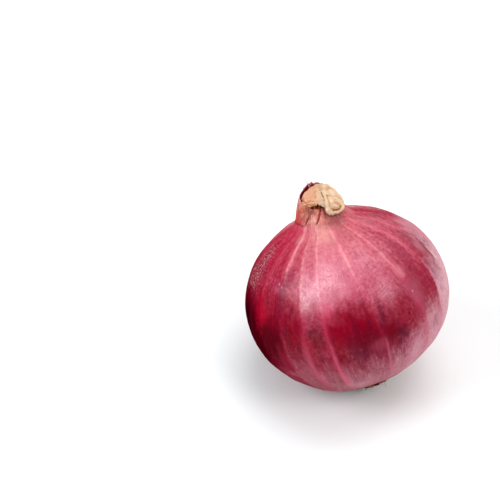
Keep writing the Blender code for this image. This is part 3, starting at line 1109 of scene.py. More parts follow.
class Signal:
    """One output of a shader node, which takes arithmetic with numbers and other outputs."""

    def __init__(self, board: "Board", socket: bpy.types.NodeSocket) -> None:
        """Keeps the socket and the board that it is on."""
        self.board = board
        self.socket = socket

    def __add__(self, other: "Value") -> "Signal":
        """The sum."""
        return self.board.math("ADD", self, other)

    def __sub__(self, other: "Value") -> "Signal":
        """The difference."""
        return self.board.math("SUBTRACT", self, other)

    def __rsub__(self, other: "Value") -> "Signal":
        """The other number less this one."""
        return self.board.math("SUBTRACT", other, self)

    def __mul__(self, other: "Value") -> "Signal":
        """The product."""
        return self.board.math("MULTIPLY", self, other)

    def __truediv__(self, other: "Value") -> "Signal":
        """The quotient."""
        return self.board.math("DIVIDE", self, other)

    def __rtruediv__(self, other: "Value") -> "Signal":
        """The other number over this one."""
        return self.board.math("DIVIDE", other, self)

    def __pow__(self, other: "Value") -> "Signal":
        """This number raised to the other."""
        return self.board.math("POWER", self, other)

    def __abs__(self) -> "Signal":
        """The size without the sign."""
        return self.board.math("ABSOLUTE", self)

    def __mod__(self, other: "Value") -> "Signal":
        """What is left after whole steps of the other, never below 0."""
        return self.board.math("FLOORED_MODULO", self, other)

    __radd__ = __add__
    __rmul__ = __mul__

    def floor(self) -> "Signal":
        """The whole number at or below it."""
        return self.board.math("FLOOR", self)

    def rise(self, low: "Value", high: "Value") -> "Signal":
        """0 below low, 1 above high and a smooth rise between them."""
        settings = {"interpolation_type": "SMOOTHSTEP"}
        return self.board.node("ShaderNodeMapRange", settings, {"Value": self, "From Min": low, "From Max": high})


Value = Union[Signal, float, Sequence[float]]


class Board:
    """The node tree of one material or world, with short ways to add nodes to it."""

    def __init__(self, owner: Union[bpy.types.Material, bpy.types.World]) -> None:
        """Takes the owner's node tree and empties it.

        Args:
            owner: The material or the world that they belong to.
        """
        owner.use_nodes = True
        self.owner = owner
        self.tree = owner.node_tree
        self.tree.nodes.clear()

    def node(
        self, kind: str, settings: Optional[Mapping[str, Any]] = None,
        sockets: Optional[Mapping[Union[str, int], Value]] = None, output: Union[str, int] = 0,
    ) -> Signal:
        """Adds any node.

        Args:
            kind: The node's type.
            settings: Its properties, set before its sockets. A ramp's entries are stops, its places and colours,
                and steps.
            sockets: The values or links of its sockets, by name or number.
            output: The output that is wanted.

        Returns:
            That output.
        """
        made = self.tree.nodes.new(kind)
        for name, setting in (settings or {}).items():
            if name == "stops":
                self._set_stops(made.color_ramp, setting)
            elif name == "steps":
                made.color_ramp.interpolation = setting.value
            else:
                setattr(made, name, setting)
        for name, value in (sockets or {}).items():
            if isinstance(value, Signal):
                self.tree.links.new(value.socket, made.inputs[name])
            else:
                made.inputs[name].default_value = value
        return Signal(self, made.outputs[output]) if len(made.outputs) else Signal(self, None)

    @staticmethod
    def _set_stops(ramp: bpy.types.ColorRamp, stops: Sequence[tuple[float, Sequence[float]]]) -> None:
        """Gives a ramp these places and colours in place of its own.

        Args:
            ramp: The ramp.
            stops: The place and the colour of each stop, in order.
        """
        while len(ramp.elements) > 1:
            ramp.elements.remove(ramp.elements[-1])
        ramp.elements[0].position, ramp.elements[0].color = stops[0]
        for place, colour in stops[1:]:
            ramp.elements.new(place).color = colour

    def math(self, operation: str, *values: Value) -> Signal:
        """A Math node of this operation on the values."""
        return self.node("ShaderNodeMath", {"operation": operation}, dict(enumerate(values)))

    def split(self, vector: Signal) -> tuple[Signal, Signal, Signal]:
        """The three coordinates of a vector."""
        outputs = self.node("ShaderNodeSeparateXYZ", None, {0: vector}).socket.node.outputs
        return tuple(Signal(self, outputs[index]) for index in range(3))

    def vector(self, x: Value, y: Value, z: Value) -> Signal:
        """A vector with these coordinates."""
        return self.node("ShaderNodeCombineXYZ", None, {0: x, 1: y, 2: z})

    def mark(self, name: str, output: str = "Fac") -> Signal:
        """A mark that the mesh carries."""
        return self.node("ShaderNodeAttribute", {"attribute_name": name}, None, output)

    def noise(self, vector: Signal, scale: float, detail: float = 2.0, rough: float = 0.5) -> Signal:
        """Cloudy noise, mostly between 0.3 and 0.7."""
        return self.node("ShaderNodeTexNoise", None,
                         {"Vector": vector, "Scale": scale, "Detail": detail, "Roughness": rough})

    def ramp(self, place: Value, steps: Steps, stops: Sequence[tuple[float, Sequence[float]]]) -> Signal:
        """The colour of a ramp at a place."""
        return self.node("ShaderNodeValToRGB", {"stops": stops, "steps": steps}, {"Fac": place})

    def blend(self, share: Value, under: Value, over: Value) -> Signal:
        """One colour laid over another by a share."""
        settings = {"data_type": "RGBA", "blend_type": "MIX", "clamp_result": True}
        return self.node("ShaderNodeMix", settings, {0: share, 6: under, 7: over}, 2)

    def coats(self, tone: Value, *layers: tuple[Value, Value]) -> Value:
        """Lays colours over a tone.

        Args:
            tone: The colour under them.
            layers: The share and the colour of each coat, in the order in which they are laid on.

        Returns:
            The colour on top.
        """
        for share, colour in layers:
            tone = self.blend(share, tone, colour)
        return tone

    def bump(self, height: Signal, distance: float, strength: float = 1.0) -> Signal:
        """A Normal for a height of 0 to 1 over a distance in metres."""
        return self.node("ShaderNodeBump", None, {"Height": height, "Distance": distance, "Strength": strength})

    def finish(self, sockets: Mapping[str, Value]) -> bpy.types.Material:
        """Ends a material with one Principled shader.

        Args:
            sockets: The values or links of its sockets.

        Returns:
            The material.
        """
        shader = self.node("ShaderNodeBsdfPrincipled", None, sockets, "BSDF")
        self.node("ShaderNodeOutputMaterial", None, {"Surface": shader})
        return self.owner


@dataclass(frozen=True)
class Lane:
    """How one strip of skin between two veins is coloured.

    Attributes:
        onset: The degrees from the neck at which its dark band begins.
        end: The degrees at which the band ends.
        depth: How dark the band is.
        flush: How much its upper part turns from crimson to salmon.
        burgundy: How much the band turns from crimson to burgundy. On the left-hand lanes this burgundy is near black
            and partly painted shade.
        gloss: How smooth and shiny its outermost skin is.
        pale: How pale it is below the band.
        fade: The degrees at which that paler part begins.
    """

    onset: float
    end: float
    depth: float
    flush: float
    burgundy: float
    gloss: float
    pale: float
    fade: float


@dataclass(frozen=True)
class Vein:
    """How one vein shows.

    Attributes:
        above: How clearly it shows above the dark band.
        below: How clearly it shows in the band and below it.
        lean: How far it runs aside near the neck, in lanes and less than half of one.
        edge: How sharply the skin's colour changes across it, 0 to 1.
    """

    above: float
    below: float
    lean: float = 0.0
    edge: float = 0.1


@dataclass(frozen=True)
class Smudge:
    """A soft patch of another tint on the skin, darker or paler than what is under it.

    Attributes:
        lane: Its middle, counted in lanes.
        along: Its middle in degrees from the neck.
        wide: Its half width in lanes.
        high: Its half height in degrees.
        strength: How much it covers at its middle.
        ragged: How much the skin's mottling breaks its outline.
        tint: Its colour, as a screen colour.
        spotted: How much the mottling thins it.
    """

    lane: float
    along: float
    wide: float
    high: float
    strength: float
    ragged: float = 1.2
    tint: tuple[int, int, int] = (74, 26, 42)
    spotted: float = 0.0


@dataclass(frozen=True)
class SkinFinish:
    """The dry red skin: crimson, with pale veins, a dark band that differs from lane to lane, and cloudy mottling.

    Attributes:
        lanes: The number of lanes between the veins.
        seen_lanes: The lanes on the seen side, by number.
        seen_veins: The veins on the seen side, by number.
        neck_end: The tints next to the neck, from 0 at the neck to 1 at the root, as screen colours. The darkest, down
            inside the neck, are partly painted shade.
        crimson: The tints below them in a lane without flush.
        salmon: The tints below them in a flushed lane.
        paler: The tints of worn skin.
        smudges: The soft patches on the body, among them painted highlights, painted sheen and painted shade.
        neck_stains_and_shade: The soft patches on the neck.
    """

    lanes: int = 24
    seen_lanes: tuple = (
        (10, Lane(58, 106, 0.95, 0.25, 0.55, 0.40, 0.35, 106)),
        # Lanes 11 to 15, on the left, have a deep burgundy band: partly the skin's colour, partly painted shade of the
        # left side.
        (11, Lane(50, 112, 1.00, 0.10, 0.85, 0.15, 0.2, 114)),
        (12, Lane(44, 116, 1.00, 0.00, 1.00, 0.05, 0.1, 120)),
        (13, Lane(48, 118, 1.00, 0.00, 1.00, 0.00, 0.0, 124)),
        (14, Lane(54, 116, 1.00, 0.00, 0.90, 0.00, 0.0, 118)),
        (15, Lane(57, 106, 1.00, 0.05, 0.75, 0.10, 0.1, 104)),
        (16, Lane(60, 94, 1.00, 0.30, 0.40, 0.50, 0.28, 95)),
        (17, Lane(71, 104, 0.85, 0.60, 0.20, 1.00, 0.30, 102)),
        (18, Lane(65, 104, 1.00, 0.90, 0.30, 0.90, 0.38, 103)),
        (19, Lane(65, 105, 1.00, 0.90, 0.50, 0.50, 0.55, 104)),
        (20, Lane(74, 104, 1.00, 0.75, 0.50, 0.48, 0.76, 102)),
        (21, Lane(71, 92, 0.70, 0.55, 0.15, 0.45, 0.92, 95)),
        (22, Lane(58, 88, 0.62, 0.38, 0.10, 0.55, 0.94, 88)),
        (23, Lane(46, 74, 0.35, 0.30, 0.80, 0.60, 1.0, 64)),
        (0, Lane(45, 70, 0.15, 0.10, 0.80, 0.40, 1.0, 43)),
        (1, Lane(40, 66, 0.15, 0.00, 0.30, 0.20, 1.0, 44)),
        (2, Lane(44, 80, 0.50, 0.00, 0.20, 0.50, 0.8, 60)),
    )
    seen_veins: tuple = (
        (12, Vein(0.1, 0.1)), (13, Vein(0.2, 0.1)), (14, Vein(0.1, 0.1)), (15, Vein(0.30, 0.08)),
        (16, Vein(0.90, 0.16, 0.05, 0.5)), (17, Vein(0.60, 0.65, -0.10, 0.6)), (18, Vein(0.75, 0.95, -0.04, 0.3)),
        (19, Vein(0.0, 0.05)), (20, Vein(0.8, 0.35, -0.34, 0.2)), (21, Vein(0.1, 0.1, 0.20)),
        (22, Vein(0.6, 0.8, -0.36, 0.3)), (23, Vein(0.9, 0.4, -0.04, 0.9)), (0, Vein(0.8, 0.1, -0.10, 0.4)),
        (1, Vein(0.4, 0.3)),
    )
    # The darkest tints, down inside the neck, are partly painted shade.
    neck_end: tuple = ((0.00, (36, 8, 6)), (0.10, (84, 24, 20)), (0.125, (150, 84, 70)))
    crimson: tuple = (
        (0.155, (184, 84, 88)), (0.18, (176, 40, 66)), (0.23, (160, 18, 50)), (0.32, (152, 16, 48)),
        (0.50, (142, 22, 50)),
    )
    salmon: tuple = (
        (0.155, (204, 124, 116)), (0.18, (204, 122, 122)), (0.21, (204, 122, 128)), (0.24, (200, 110, 120)),
        (0.28, (200, 106, 122)), (0.32, (202, 110, 128)), (0.36, (196, 98, 120)), (0.42, (184, 76, 100)),
        (0.52, (172, 60, 86)),
    )
    paler: tuple = (
        (0.30, (186, 112, 126)), (0.50, (184, 102, 122)), (0.58, (190, 108, 128)), (0.65, (200, 128, 144)),
        (0.85, (196, 132, 140)),
    )
    smudges: tuple = (
        Smudge(17.48, 82.0, 0.42, 12.0, 0.55, 1.6, (96, 2, 26)),
        Smudge(16.32, 80.0, 0.22, 10.0, 0.45, 1.6, (84, 0, 18)),
        Smudge(21.92, 60.0, 0.12, 9.0, 0.32, 2.0, (214, 104, 124)),
        Smudge(17.20, 78.5, 0.18, 4.0, 0.62, 1.4, (84, 4, 18)),
        Smudge(20.16, 77.0, 0.15, 13.0, 0.55, 2.2, (100, 22, 48)),
        Smudge(20.90, 96.0, 0.36, 6.0, 0.50, 2.0, (80, 24, 48)),
        Smudge(19.10, 99.0, 0.60, 8.0, 0.38, 1.4, (84, 22, 46)),
        # Darker below the hood on the right: painted shade.
        Smudge(20.70, 22.0, 1.30, 12.0, 0.45, 1.2, (166, 70, 84)),
        Smudge(16.08, 59.0, 0.22, 17.0, 0.75, 0.8, (106, 2, 34)),
        Smudge(16.30, 46.0, 0.30, 7.0, 0.55, 1.4, (136, 24, 58)),
        Smudge(15.88, 55.0, 0.10, 4.5, 0.45, 1.0, (116, 14, 44)),
        Smudge(17.02, 104.0, 0.10, 14.0, 0.45, 1.6, (110, 26, 50)),
        Smudge(21.90, 74.5, 0.03, 0.6, 0.70, 0.3, (240, 186, 196)),
        Smudge(14.90, 68.0, 0.50, 14.0, 0.42, 1.8, (192, 8, 44)),
        Smudge(15.75, 52.5, 0.26, 4.0, 0.28, 2.4, (190, 110, 145)),
        Smudge(15.80, 49.5, 0.04, 0.8, 0.65, 0.3, (222, 190, 214)),
        Smudge(15.98, 51.2, 0.03, 0.8, 0.65, 0.3, (222, 190, 214)),
        Smudge(21.36, 85.0, 0.07, 1.2, 0.95, 0.3, (66, 10, 24)),
        Smudge(22.56, 50.0, 0.44, 22.0, 0.62, 1.6, (136, 22, 52)),
        Smudge(22.60, 103.0, 0.35, 5.0, 0.30, 1.4, (120, 60, 90)),
        Smudge(23.70, 54.0, 0.40, 12.0, 0.22, 1.4, (130, 66, 82)),
        Smudge(23.94, 58.0, 0.12, 5.5, 0.55, 1.0, (96, 40, 62)),
        Smudge(23.62, 59.0, 0.22, 6.0, 0.32, 1.2, (204, 140, 154)),
        Smudge(0.72, 44.0, 0.25, 6.0, 0.32, 1.6, (208, 150, 160)),
        Smudge(23.24, 73.0, 0.15, 9.0, 0.50, 1.2, (130, 46, 70)),
        Smudge(23.60, 73.5, 0.18, 5.0, 0.40, 1.0, (124, 54, 74)),
        Smudge(21.15, 104.0, 0.30, 7.0, 0.35, 1.6, (140, 40, 74)),
        Smudge(18.24, 119.0, 0.22, 13.0, 0.42, 1.4, (214, 110, 138)),
        Smudge(17.02, 113.0, 0.18, 10.0, 0.35, 0.8, (210, 106, 128)),
        Smudge(16.20, 47.0, 1.20, 6.0, 0.36, 1.8, (130, 12, 50)),
        # Pale spotted patches on the right: partly pale dry skin, partly painted sheen.
        Smudge(0.25, 36.0, 0.40, 9.0, 0.20, 3.2, (216, 160, 172), 0.7),
        Smudge(1.25, 48.0, 0.50, 10.0, 0.16, 3.2, (216, 170, 180), 0.7),
        Smudge(21.50, 38.0, 0.50, 7.0, 0.20, 1.8, (176, 36, 66)),
        Smudge(21.85, 61.0, 0.30, 5.0, 0.28, 1.8, (224, 146, 160)),
        Smudge(15.80, 98.0, 0.28, 13.0, 0.32, 1.4, (176, 44, 70)),
        Smudge(18.28, 67.0, 0.28, 10.0, 0.28, 1.6, (232, 84, 120)),
        Smudge(18.60, 129.0, 0.90, 9.0, 0.36, 1.6, (224, 164, 178)),
        Smudge(12.40, 24.0, 0.60, 6.0, 0.30, 1.6, (160, 10, 40)),
        Smudge(20.66, 67.0, 0.26, 6.0, 0.22, 1.8, (150, 44, 70)),
        Smudge(16.88, 101.0, 0.16, 24.0, 0.34, 1.4, (208, 92, 116)),
        Smudge(18.05, 112.0, 0.11, 28.0, 0.46, 1.3, (224, 100, 128)),
        Smudge(20.06, 107.0, 0.07, 15.0, 0.40, 0.9, (214, 112, 138)),
        Smudge(21.20, 145.0, 1.80, 5.0, 0.55, 1.0, (118, 66, 58)),
        # Painted highlight, partly pale dry skin: the left highlight.
        Smudge(17.18, 58.0, 0.34, 9.0, 0.24, 2.0, (248, 204, 216), 0.8),
        # Deep red darkening on the left: partly the skin's colour, partly painted shade.
        Smudge(13.20, 50.0, 0.38, 11.0, 0.40, 1.2, (126, 0, 16)),
        Smudge(0.95, 32.0, 0.55, 7.0, 0.34, 1.6, (104, 28, 44)),
        Smudge(0.80, 15.0, 0.90, 5.0, 0.26, 1.6, (214, 172, 172)),
        Smudge(17.45, 49.0, 0.66, 8.0, 0.34, 1.6, (188, 48, 92)),
        Smudge(23.70, 47.0, 0.40, 8.0, 0.26, 1.4, (92, 46, 58)),
        Smudge(0.35, 63.0, 0.36, 6.0, 0.24, 1.4, (112, 68, 80)),
        # Deep red darkening on the left: partly the skin's colour, partly painted shade.
        Smudge(14.30, 46.0, 0.34, 5.0, 0.28, 1.4, (92, 0, 12)),
        Smudge(15.75, 111.0, 0.30, 4.0, 0.28, 1.2, (206, 116, 136)),
        Smudge(19.80, 96.0, 0.42, 5.0, 0.28, 1.6, (200, 80, 110)),
        Smudge(23.45, 75.0, 0.46, 14.0, 0.24, 1.4, (146, 46, 70)),
        Smudge(21.98, 101.0, 0.36, 6.0, 0.28, 1.6, (152, 40, 70)),
        # Deep red darkening on the left: partly the skin's colour, partly painted shade.
        Smudge(15.25, 59.0, 0.35, 8.0, 0.30, 1.6, (106, 0, 12)),
        Smudge(22.00, 75.0, 0.45, 14.0, 0.20, 1.8, (190, 124, 148)),
        Smudge(23.40, 25.0, 1.10, 7.0, 0.22, 1.4, (136, 96, 112)),
        Smudge(15.90, 21.0, 0.60, 4.0, 0.16, 1.6, (208, 184, 170)),
        # Painted highlight, partly pale dry skin: beside the left highlight.
        Smudge(18.40, 51.0, 0.90, 13.0, 0.60, 2.0, (246, 180, 194), 0.6),
        # Painted highlight, partly pale dry skin: the right highlight.
        Smudge(20.70, 64.0, 0.45, 10.0, 0.30, 2.6, (232, 176, 196), 0.9),
        Smudge(18.70, 18.0, 1.30, 9.0, 0.45, 1.2, (218, 148, 138)),
    )
    # Soft patches on the neck: stains and spots, and four patches of painted shade from the hood.
    neck_stains_and_shade: tuple = (
        Smudge(12.6, 8.0, 1.3, 4.5, 0.60, 2.4, (206, 138, 132)),
        Smudge(13.9, 10.0, 1.2, 3.6, 0.65, 1.6, (176, 58, 48)),
        Smudge(15.0, 10.4, 0.35, 1.2, 0.60, 1.2, (186, 52, 74)),
        Smudge(14.1, 6.6, 0.35, 0.9, 0.55, 0.8, (222, 150, 96)),
        # Painted shade: brown shade along the hood's lower left edge, below the gap under it and under its lobe.
        Smudge(16.2, 6.3, 0.90, 2.0, 0.80, 1.2, (118, 58, 38)),
        Smudge(17.4, 6.4, 1.00, 1.6, 0.75, 1.0, (112, 50, 34)),
        Smudge(19.9, 6.5, 0.90, 2.0, 0.70, 1.0, (140, 66, 58)),
        # Painted shade that the hood casts on the skin to its right.
        Smudge(21.0, 12.5, 1.90, 8.0, 0.80, 1.2, (150, 68, 72)),
        Smudge(17.6, 10.5, 0.80, 3.0, 0.55, 1.4, (220, 142, 134)),
        Smudge(19.0, 10.5, 0.45, 3.0, 0.45, 1.4, (218, 138, 130)),
    )

    def all_lanes(self) -> list[Lane]:
        """Every lane: the ones that are laid down above, and seeded ones in between.

        Returns:
            The lanes.
        """
        draw = np.random.default_rng(23)
        lanes = [
            Lane(draw.uniform(48, 68), draw.uniform(90, 110), draw.uniform(0.75, 1.0), draw.uniform(0.0, 0.7),
                 draw.uniform(0.2, 0.9), draw.uniform(0.3, 0.9), draw.uniform(0.2, 0.7), draw.uniform(90, 112))
            for _ in range(self.lanes)
        ]
        for number, lane in self.seen_lanes:
            lanes[number] = lane
        return lanes

    def all_veins(self) -> list[Vein]:
        """Every vein: the ones that are laid down above, and seeded ones in between.

        Returns:
            The veins.
        """
        draw = np.random.default_rng(29)
        veins = [
            Vein(draw.uniform(0.2, 0.9), draw.uniform(0.1, 0.7), draw.uniform(-0.25, 0.25), draw.uniform(0.0, 0.6))
            for _ in range(self.lanes)
        ]
        for number, vein in self.seen_veins:
            veins[number] = vein
        return veins

    def build(self) -> bpy.types.Material:
        """Builds the material.

        Returns:
            The material.
        """
        painter = SkinPainter(self)
        tone = painter.ground()
        for coat in (
            painter.mottling, painter.flakes, painter.seam_threads, painter.vein_lines, painter.smudged, painter.neck
        ):
            tone = coat(tone)
        return painter.finished(tone)


class SkinPainter:
    """Lays the coats of the skin over each other.

    Attributes:
        finish: What the skin looks like.
        board: The nodes of its material.
        lane_place: The place round the onion, counted in lanes.
        along: The degrees from the neck.
        own: The place in the onion's own frame.
        clouds: The broadest noise. The noises mottle and grain are finer.
        smoky: A broad noise drawn out from neck to root. The noise brush is finer.
        distance: How far the nearest vein is, in millimetres.
        strength: How strong this vein is.
        core: How much of its middle shows.
        flush: How salmon the lane is above. The values gloss and pale are numbers of the lane too.
        band: How much of the dark band shows.
        faded: How much of the worn skin below shows.
        deep: How much the dark band turns to burgundy, near black and partly painted shade on the left-hand lanes.
        strong: How strong the mottling is.
        calm: How much the mottling lightens.
    """

    def __init__(self, finish: SkinFinish) -> None:
        """Starts the material, with what its coats share.

        Args:
            finish: What the skin looks like.
        """
        self.finish = finish
        self.board = board = Board(bpy.data.materials.new("dry_red_skin"))
        around, level, _ = board.split(board.node("ShaderNodeUVMap", {"uv_map": "lanes"}, None, "UV"))
        self.along = along = level * MAP_SPAN + MAP_START
        self.lane_place = lane_place = around * finish.lanes
        self.cosine, self.sine = board.math("COSINE", around * TAU), board.math("SINE", around * TAU)
        self.own = own = board.mark("own", "Vector")
        self.clouds, self.mottle = clouds, mottle = board.noise(own, 0.17, 4.0, 0.6), board.noise(own, 0.8, 4.0, 0.68)
        self.grain = board.noise(own, 2.7, 3.0, 0.6)
        self.smoky, self.brush = smoky, brush = self.drawn(11.0, 0.06, 4.0, 0.6), self.drawn(60.0, 0.12, 3.0, 0.6)

        x, y, _ = board.split(own)
        radius = (x * x + y * y) ** 0.5
        nearest = (lane_place + 0.5).floor()
        above, below, lean, edge = self.table(nearest + 0.5, [
            (vein.above, vein.below, vein.lean + 0.5, vein.edge) for vein in finish.all_veins()
        ], Steps.HELD)
        shift = (lean - 0.5) * (1.15 * along.rise(112.0, 24.0) - 0.15)
        from_vein = lane_place - nearest - shift
        self.distance = abs(from_vein * radius * (TAU / finish.lanes) + (clouds - 0.5) * 0.9)
        beside = (from_vein + (mottle - 0.5) * 0.16) * (1.0 + edge * 12.0)
        place_in = nearest + board.math("MINIMUM", board.math("MAXIMUM", beside, -0.5), 0.5)
        strength = (below + (above - below) * along.rise(72.0, 40.0)) * along.rise(7.0, 14.0)
        self.strength = strength * along.rise(150.0, 118.0) * (0.6 + mottle.rise(0.35, 0.6) * 0.4)
        self.core = self.distance.rise(0.80, 0.0) * self.strength * (0.3 + along.rise(66.0, 44.0) * 0.7)

        lanes = finish.all_lanes()
        onset, end, depth, self.flush = self.table(place_in, [
            (lane.onset / 180.0, lane.end / 180.0, lane.depth, lane.flush) for lane in lanes
        ], Steps.STRAIGHT)
        burgundy, self.gloss, self.pale, fade = self.table(place_in, [
            (lane.burgundy, lane.gloss, lane.pale, lane.fade / 180.0) for lane in lanes
        ], Steps.STRAIGHT)
        cloud = (clouds - 0.5) * 30.0 + (smoky - 0.5) * 18.0 + (brush - 0.5) * 9.0 + (mottle - 0.5) * 5.0
        begun = (along + cloud).rise(onset * 180.0 - 8.0, onset * 180.0 + 14.0)
        done = (along + cloud).rise(end * 180.0 - 16.0, end * 180.0 + 16.0)
        self.band = begun * (1.0 - done) * depth
        self.faded = (along + cloud * fade).rise(fade * 168.0, fade * 204.0)
        self.deep = burgundy * (along + cloud * 0.5).rise(94.0 - burgundy * 48.0, 116.0 - burgundy * 40.0)
        self.strong = 1.0 - self.faded * self.pale * 0.6
        self.calm = (1.0 - self.band) * (0.5 + self.flush * 0.5) * along.rise(104.0, 84.0)

    def drawn(self, fineness: float, stretch: float, detail: float, rough: float = 0.5) -> Signal:
        """Noise drawn out from neck to root."""
        spot = self.board.vector(self.cosine * fineness, self.sine * fineness, self.along * stretch)
        return self.board.noise(spot, 1.0, detail, rough)

    def table(self, place: Signal, rows: Sequence[Sequence[float]], steps: Steps) -> tuple[Signal, ...]:
        """Looks up four numbers of a lane.

        Args:
            place: Where to look, counted in lanes.
            rows: The four numbers of each lane.
            steps: Whether they hold all over a lane or at its middle only, with straight changes in between.

        Returns:
            The four numbers.
        """
        lanes = self.finish.lanes
        if steps is Steps.HELD:
            stops = [(number / lanes, row) for number, row in enumerate(rows)]
        else:
            seam = tuple(0.5 * (first + last) for first, last in zip(rows[0], rows[-1]))
            inner = [((number + 0.5) / lanes, row) for number, row in enumerate(rows)]
            stops = [(0.0, seam), *inner, (1.0, seam)]
        found = self.board.ramp(place / lanes % 1.0, steps, stops)
        return (*self.board.split(found), Signal(self.board, found.socket.node.outputs["Alpha"]))

    def ground(self) -> Signal:
        """Makes the ground: crimson or salmon above, worn skin below and the dark band between.

        Returns:
            Its tone.
        """
        board, finish, along, band = self.board, self.finish, self.along, self.band
        place = (along + (self.smoky - 0.5) * 12.0 - MAP_START) / MAP_SPAN
        crimson, salmon, paler = (
            board.ramp(place, Steps.STRAIGHT, [(spot, ink(*tint)) for spot, tint in stops])
            for stops in (finish.neck_end + finish.crimson, finish.neck_end + finish.salmon, finish.paler)
        )
        # Whiter on the palest lanes, which lie on the right, from 44 to 78 degrees down.
        whitened = self.pale.rise(0.86, 1.0) * along.rise(44.0, 78.0) * 0.45
        low = board.blend(self.pale, ink(134, 16, 46), board.blend(whitened, paler, ink(228, 186, 192)))
        # Near-black red for the band's burgundy on the lanes left of 16: partly the skin's deep colour, partly painted
        # shade of the left side.
        deep_band_and_left_shade = board.blend(self.lane_place.rise(16.0, 18.5), ink(50, 0, 5), ink(66, 6, 24))
        return board.coats(
            board.blend(self.flush, crimson, salmon),
            (self.faded, low),
            (place.rise(0.86, 0.95), ink(150, 104, 92)),
            (band, board.blend(self.deep, ink(138, 2, 30), deep_band_and_left_shade)),
            (band * self.smoky.rise(0.50, 0.64) * 0.55 * (1.0 - self.deep), ink(88, 8, 36)),
            (band * self.mottle.rise(0.52, 0.36) * 0.35 * (1.0 - self.deep), ink(72, 4, 28)),
        )

    def mottling(self, tone: Signal) -> Signal:
        """Lays on the mottling, the brushed streaks and the grain.

        Args:
            tone: The tone under them.

        Returns:
            The tone with them.
        """
        mottle, brush, grain, strong, calm = self.mottle, self.brush, self.grain, self.strong, self.calm
        shade = self.board.blend(self.deep, ink(120, 14, 40), ink(30, 0, 6))
        return self.board.coats(
            tone,
            (mottle.rise(0.52, 0.36) * self.faded * self.pale * 0.16, ink(150, 88, 112)),
            (brush.rise(0.54, 0.68) * self.faded * self.pale * 0.30, ink(222, 168, 184)),
            (mottle.rise(0.52, 0.34) * strong * 0.34, shade),
            (mottle.rise(0.50, 0.68) * 0.24 * calm, ink(230, 148, 166)),
            (brush.rise(0.54, 0.70) * 0.16 * (1.0 - self.band * 0.7) * (1.0 - self.deep), ink(222, 126, 146)),
            (brush.rise(0.47, 0.34) * strong * 0.26, shade),
            (grain.rise(0.46, 0.30) * strong * 0.20, shade),
            (grain.rise(0.54, 0.70) * 0.14 * calm, ink(244, 190, 200)),
        )

    def flakes(self, tone: Signal) -> Signal:
        """Lays on the crossing pale strokes of the flaking skin on the upper left.

        Args:
            tone: The tone under them.

        Returns:
            The tone with them.
        """
        board, lane_place, along = self.board, self.lane_place, self.along
        window = lane_place.rise(12.3, 13.4) * lane_place.rise(14.9, 13.8)
        window = window * along.rise(20.0, 44.0) * along.rise(66.0, 50.0)
        aside, down = lane_place * 8.2, along * 0.72
        rising = board.noise(board.vector((aside + down) * 0.65, (aside - down) * 2.3, 0.0), 1.0, 2.0, 0.6)
        falling = board.noise(board.vector((aside + down) * 2.3, (aside - down) * 0.65, 9.0), 1.0, 2.0, 0.6)
        patch = (window * 0.9 + (self.clouds - 0.5) * 1.8).rise(0.12, 0.92) * window.rise(0.0, 0.6)
        thinned = 0.024 + (1.0 - patch) * 0.065
        strokes = board.math("MAXIMUM", (rising - thinned).rise(0.56, 0.63), (falling - thinned).rise(0.58, 0.65))
        return board.coats(
            tone,
            (patch * 0.60, ink(112, 4, 28)),
            (strokes * window.rise(0.05, 0.4) * 0.90, ink(234, 194, 202)),
        )

    def seam_threads(self, tone: Signal) -> Signal:
        """Lays on the thin dark and pale threads along one vein.

        Args:
            tone: The tone under them.

        Returns:
            The tone with them.
        """
        lanes, along = self.finish.lanes, self.along
        beside = abs((self.lane_place + lanes / 2 - 0.1) % float(lanes) - lanes / 2)
        lined = beside.rise(0.45, 0.20) * along.rise(46.0, 54.0) * along.rise(78.0, 70.0)
        threads = self.drawn(90.0, 0.05, 2.0)
        return self.board.coats(
            tone,
            (threads.rise(0.48, 0.38) * lined * 0.7, ink(104, 30, 52)),
            (threads.rise(0.54, 0.62) * lined * 0.6, ink(240, 208, 212)),
        )

    def vein_lines(self, tone: Signal) -> Signal:
        """Lays on the veins and the streaks between them.

        Args:
            tone: The tone under them.

        Returns:
            The tone with them.
        """
        board, lane_place, along = self.board, self.lane_place, self.along
        glow = self.distance.rise(2.6, 0.0) * self.strength
        streaks = self.drawn(30.0, 0.015, 2.0).rise(0.52, 0.66) * along.rise(14.0, 26.0) * along.rise(74.0, 44.0)
        low_down = board.math("MAXIMUM", along.rise(52.0, 72.0), self.band)
        in_front = lane_place.rise(15.4, 15.8) * lane_place.rise(22.6, 22.1)
        line = board.blend(in_front, ink(224, 96, 116), ink(244, 178, 178))
        return board.coats(
            tone,
            (streaks * 0.16, ink(226, 122, 142)),
            (glow * 0.42, board.blend(low_down, ink(220, 112, 130), ink(186, 40, 76))),
            (self.core * 0.42, board.blend(low_down, line, ink(212, 92, 122))),
        )

    def patches(
        self, tone: Signal, smudges: Sequence[Smudge], noise: Signal, outside: float, inside: float
    ) -> Signal:
        """Lays on soft patches.

        Args:
            tone: The tone under them.
            smudges: The patches.
            noise: What makes their outlines ragged.
            outside: How far from its middle a patch ends, as a share of its half width and half height.
            inside: How far from its middle it has its full strength.

        Returns:
            The tone with them.
        """
        for smudge in smudges:
            aside = (self.lane_place - smudge.lane) / smudge.wide
            up = (self.along - smudge.along) / smudge.high
            spread = (aside * aside + up * up) ** 0.5 + noise * smudge.ragged
            share = spread.rise(outside, inside) * smudge.strength
            if smudge.spotted:
                spots = (self.mottle * 0.6 + self.grain * 0.4).rise(0.42, 0.58)
                share = share * (spots * smudge.spotted + (1.0 - smudge.spotted))
            tone = self.board.blend(share, tone, ink(*smudge.tint))
        return tone

    def smudged(self, tone: Signal) -> Signal:
        """Lays on the soft patches of the body."""
        return self.patches(tone, self.finish.smudges, self.mottle + self.clouds - 1.0, 1.25, 0.15)

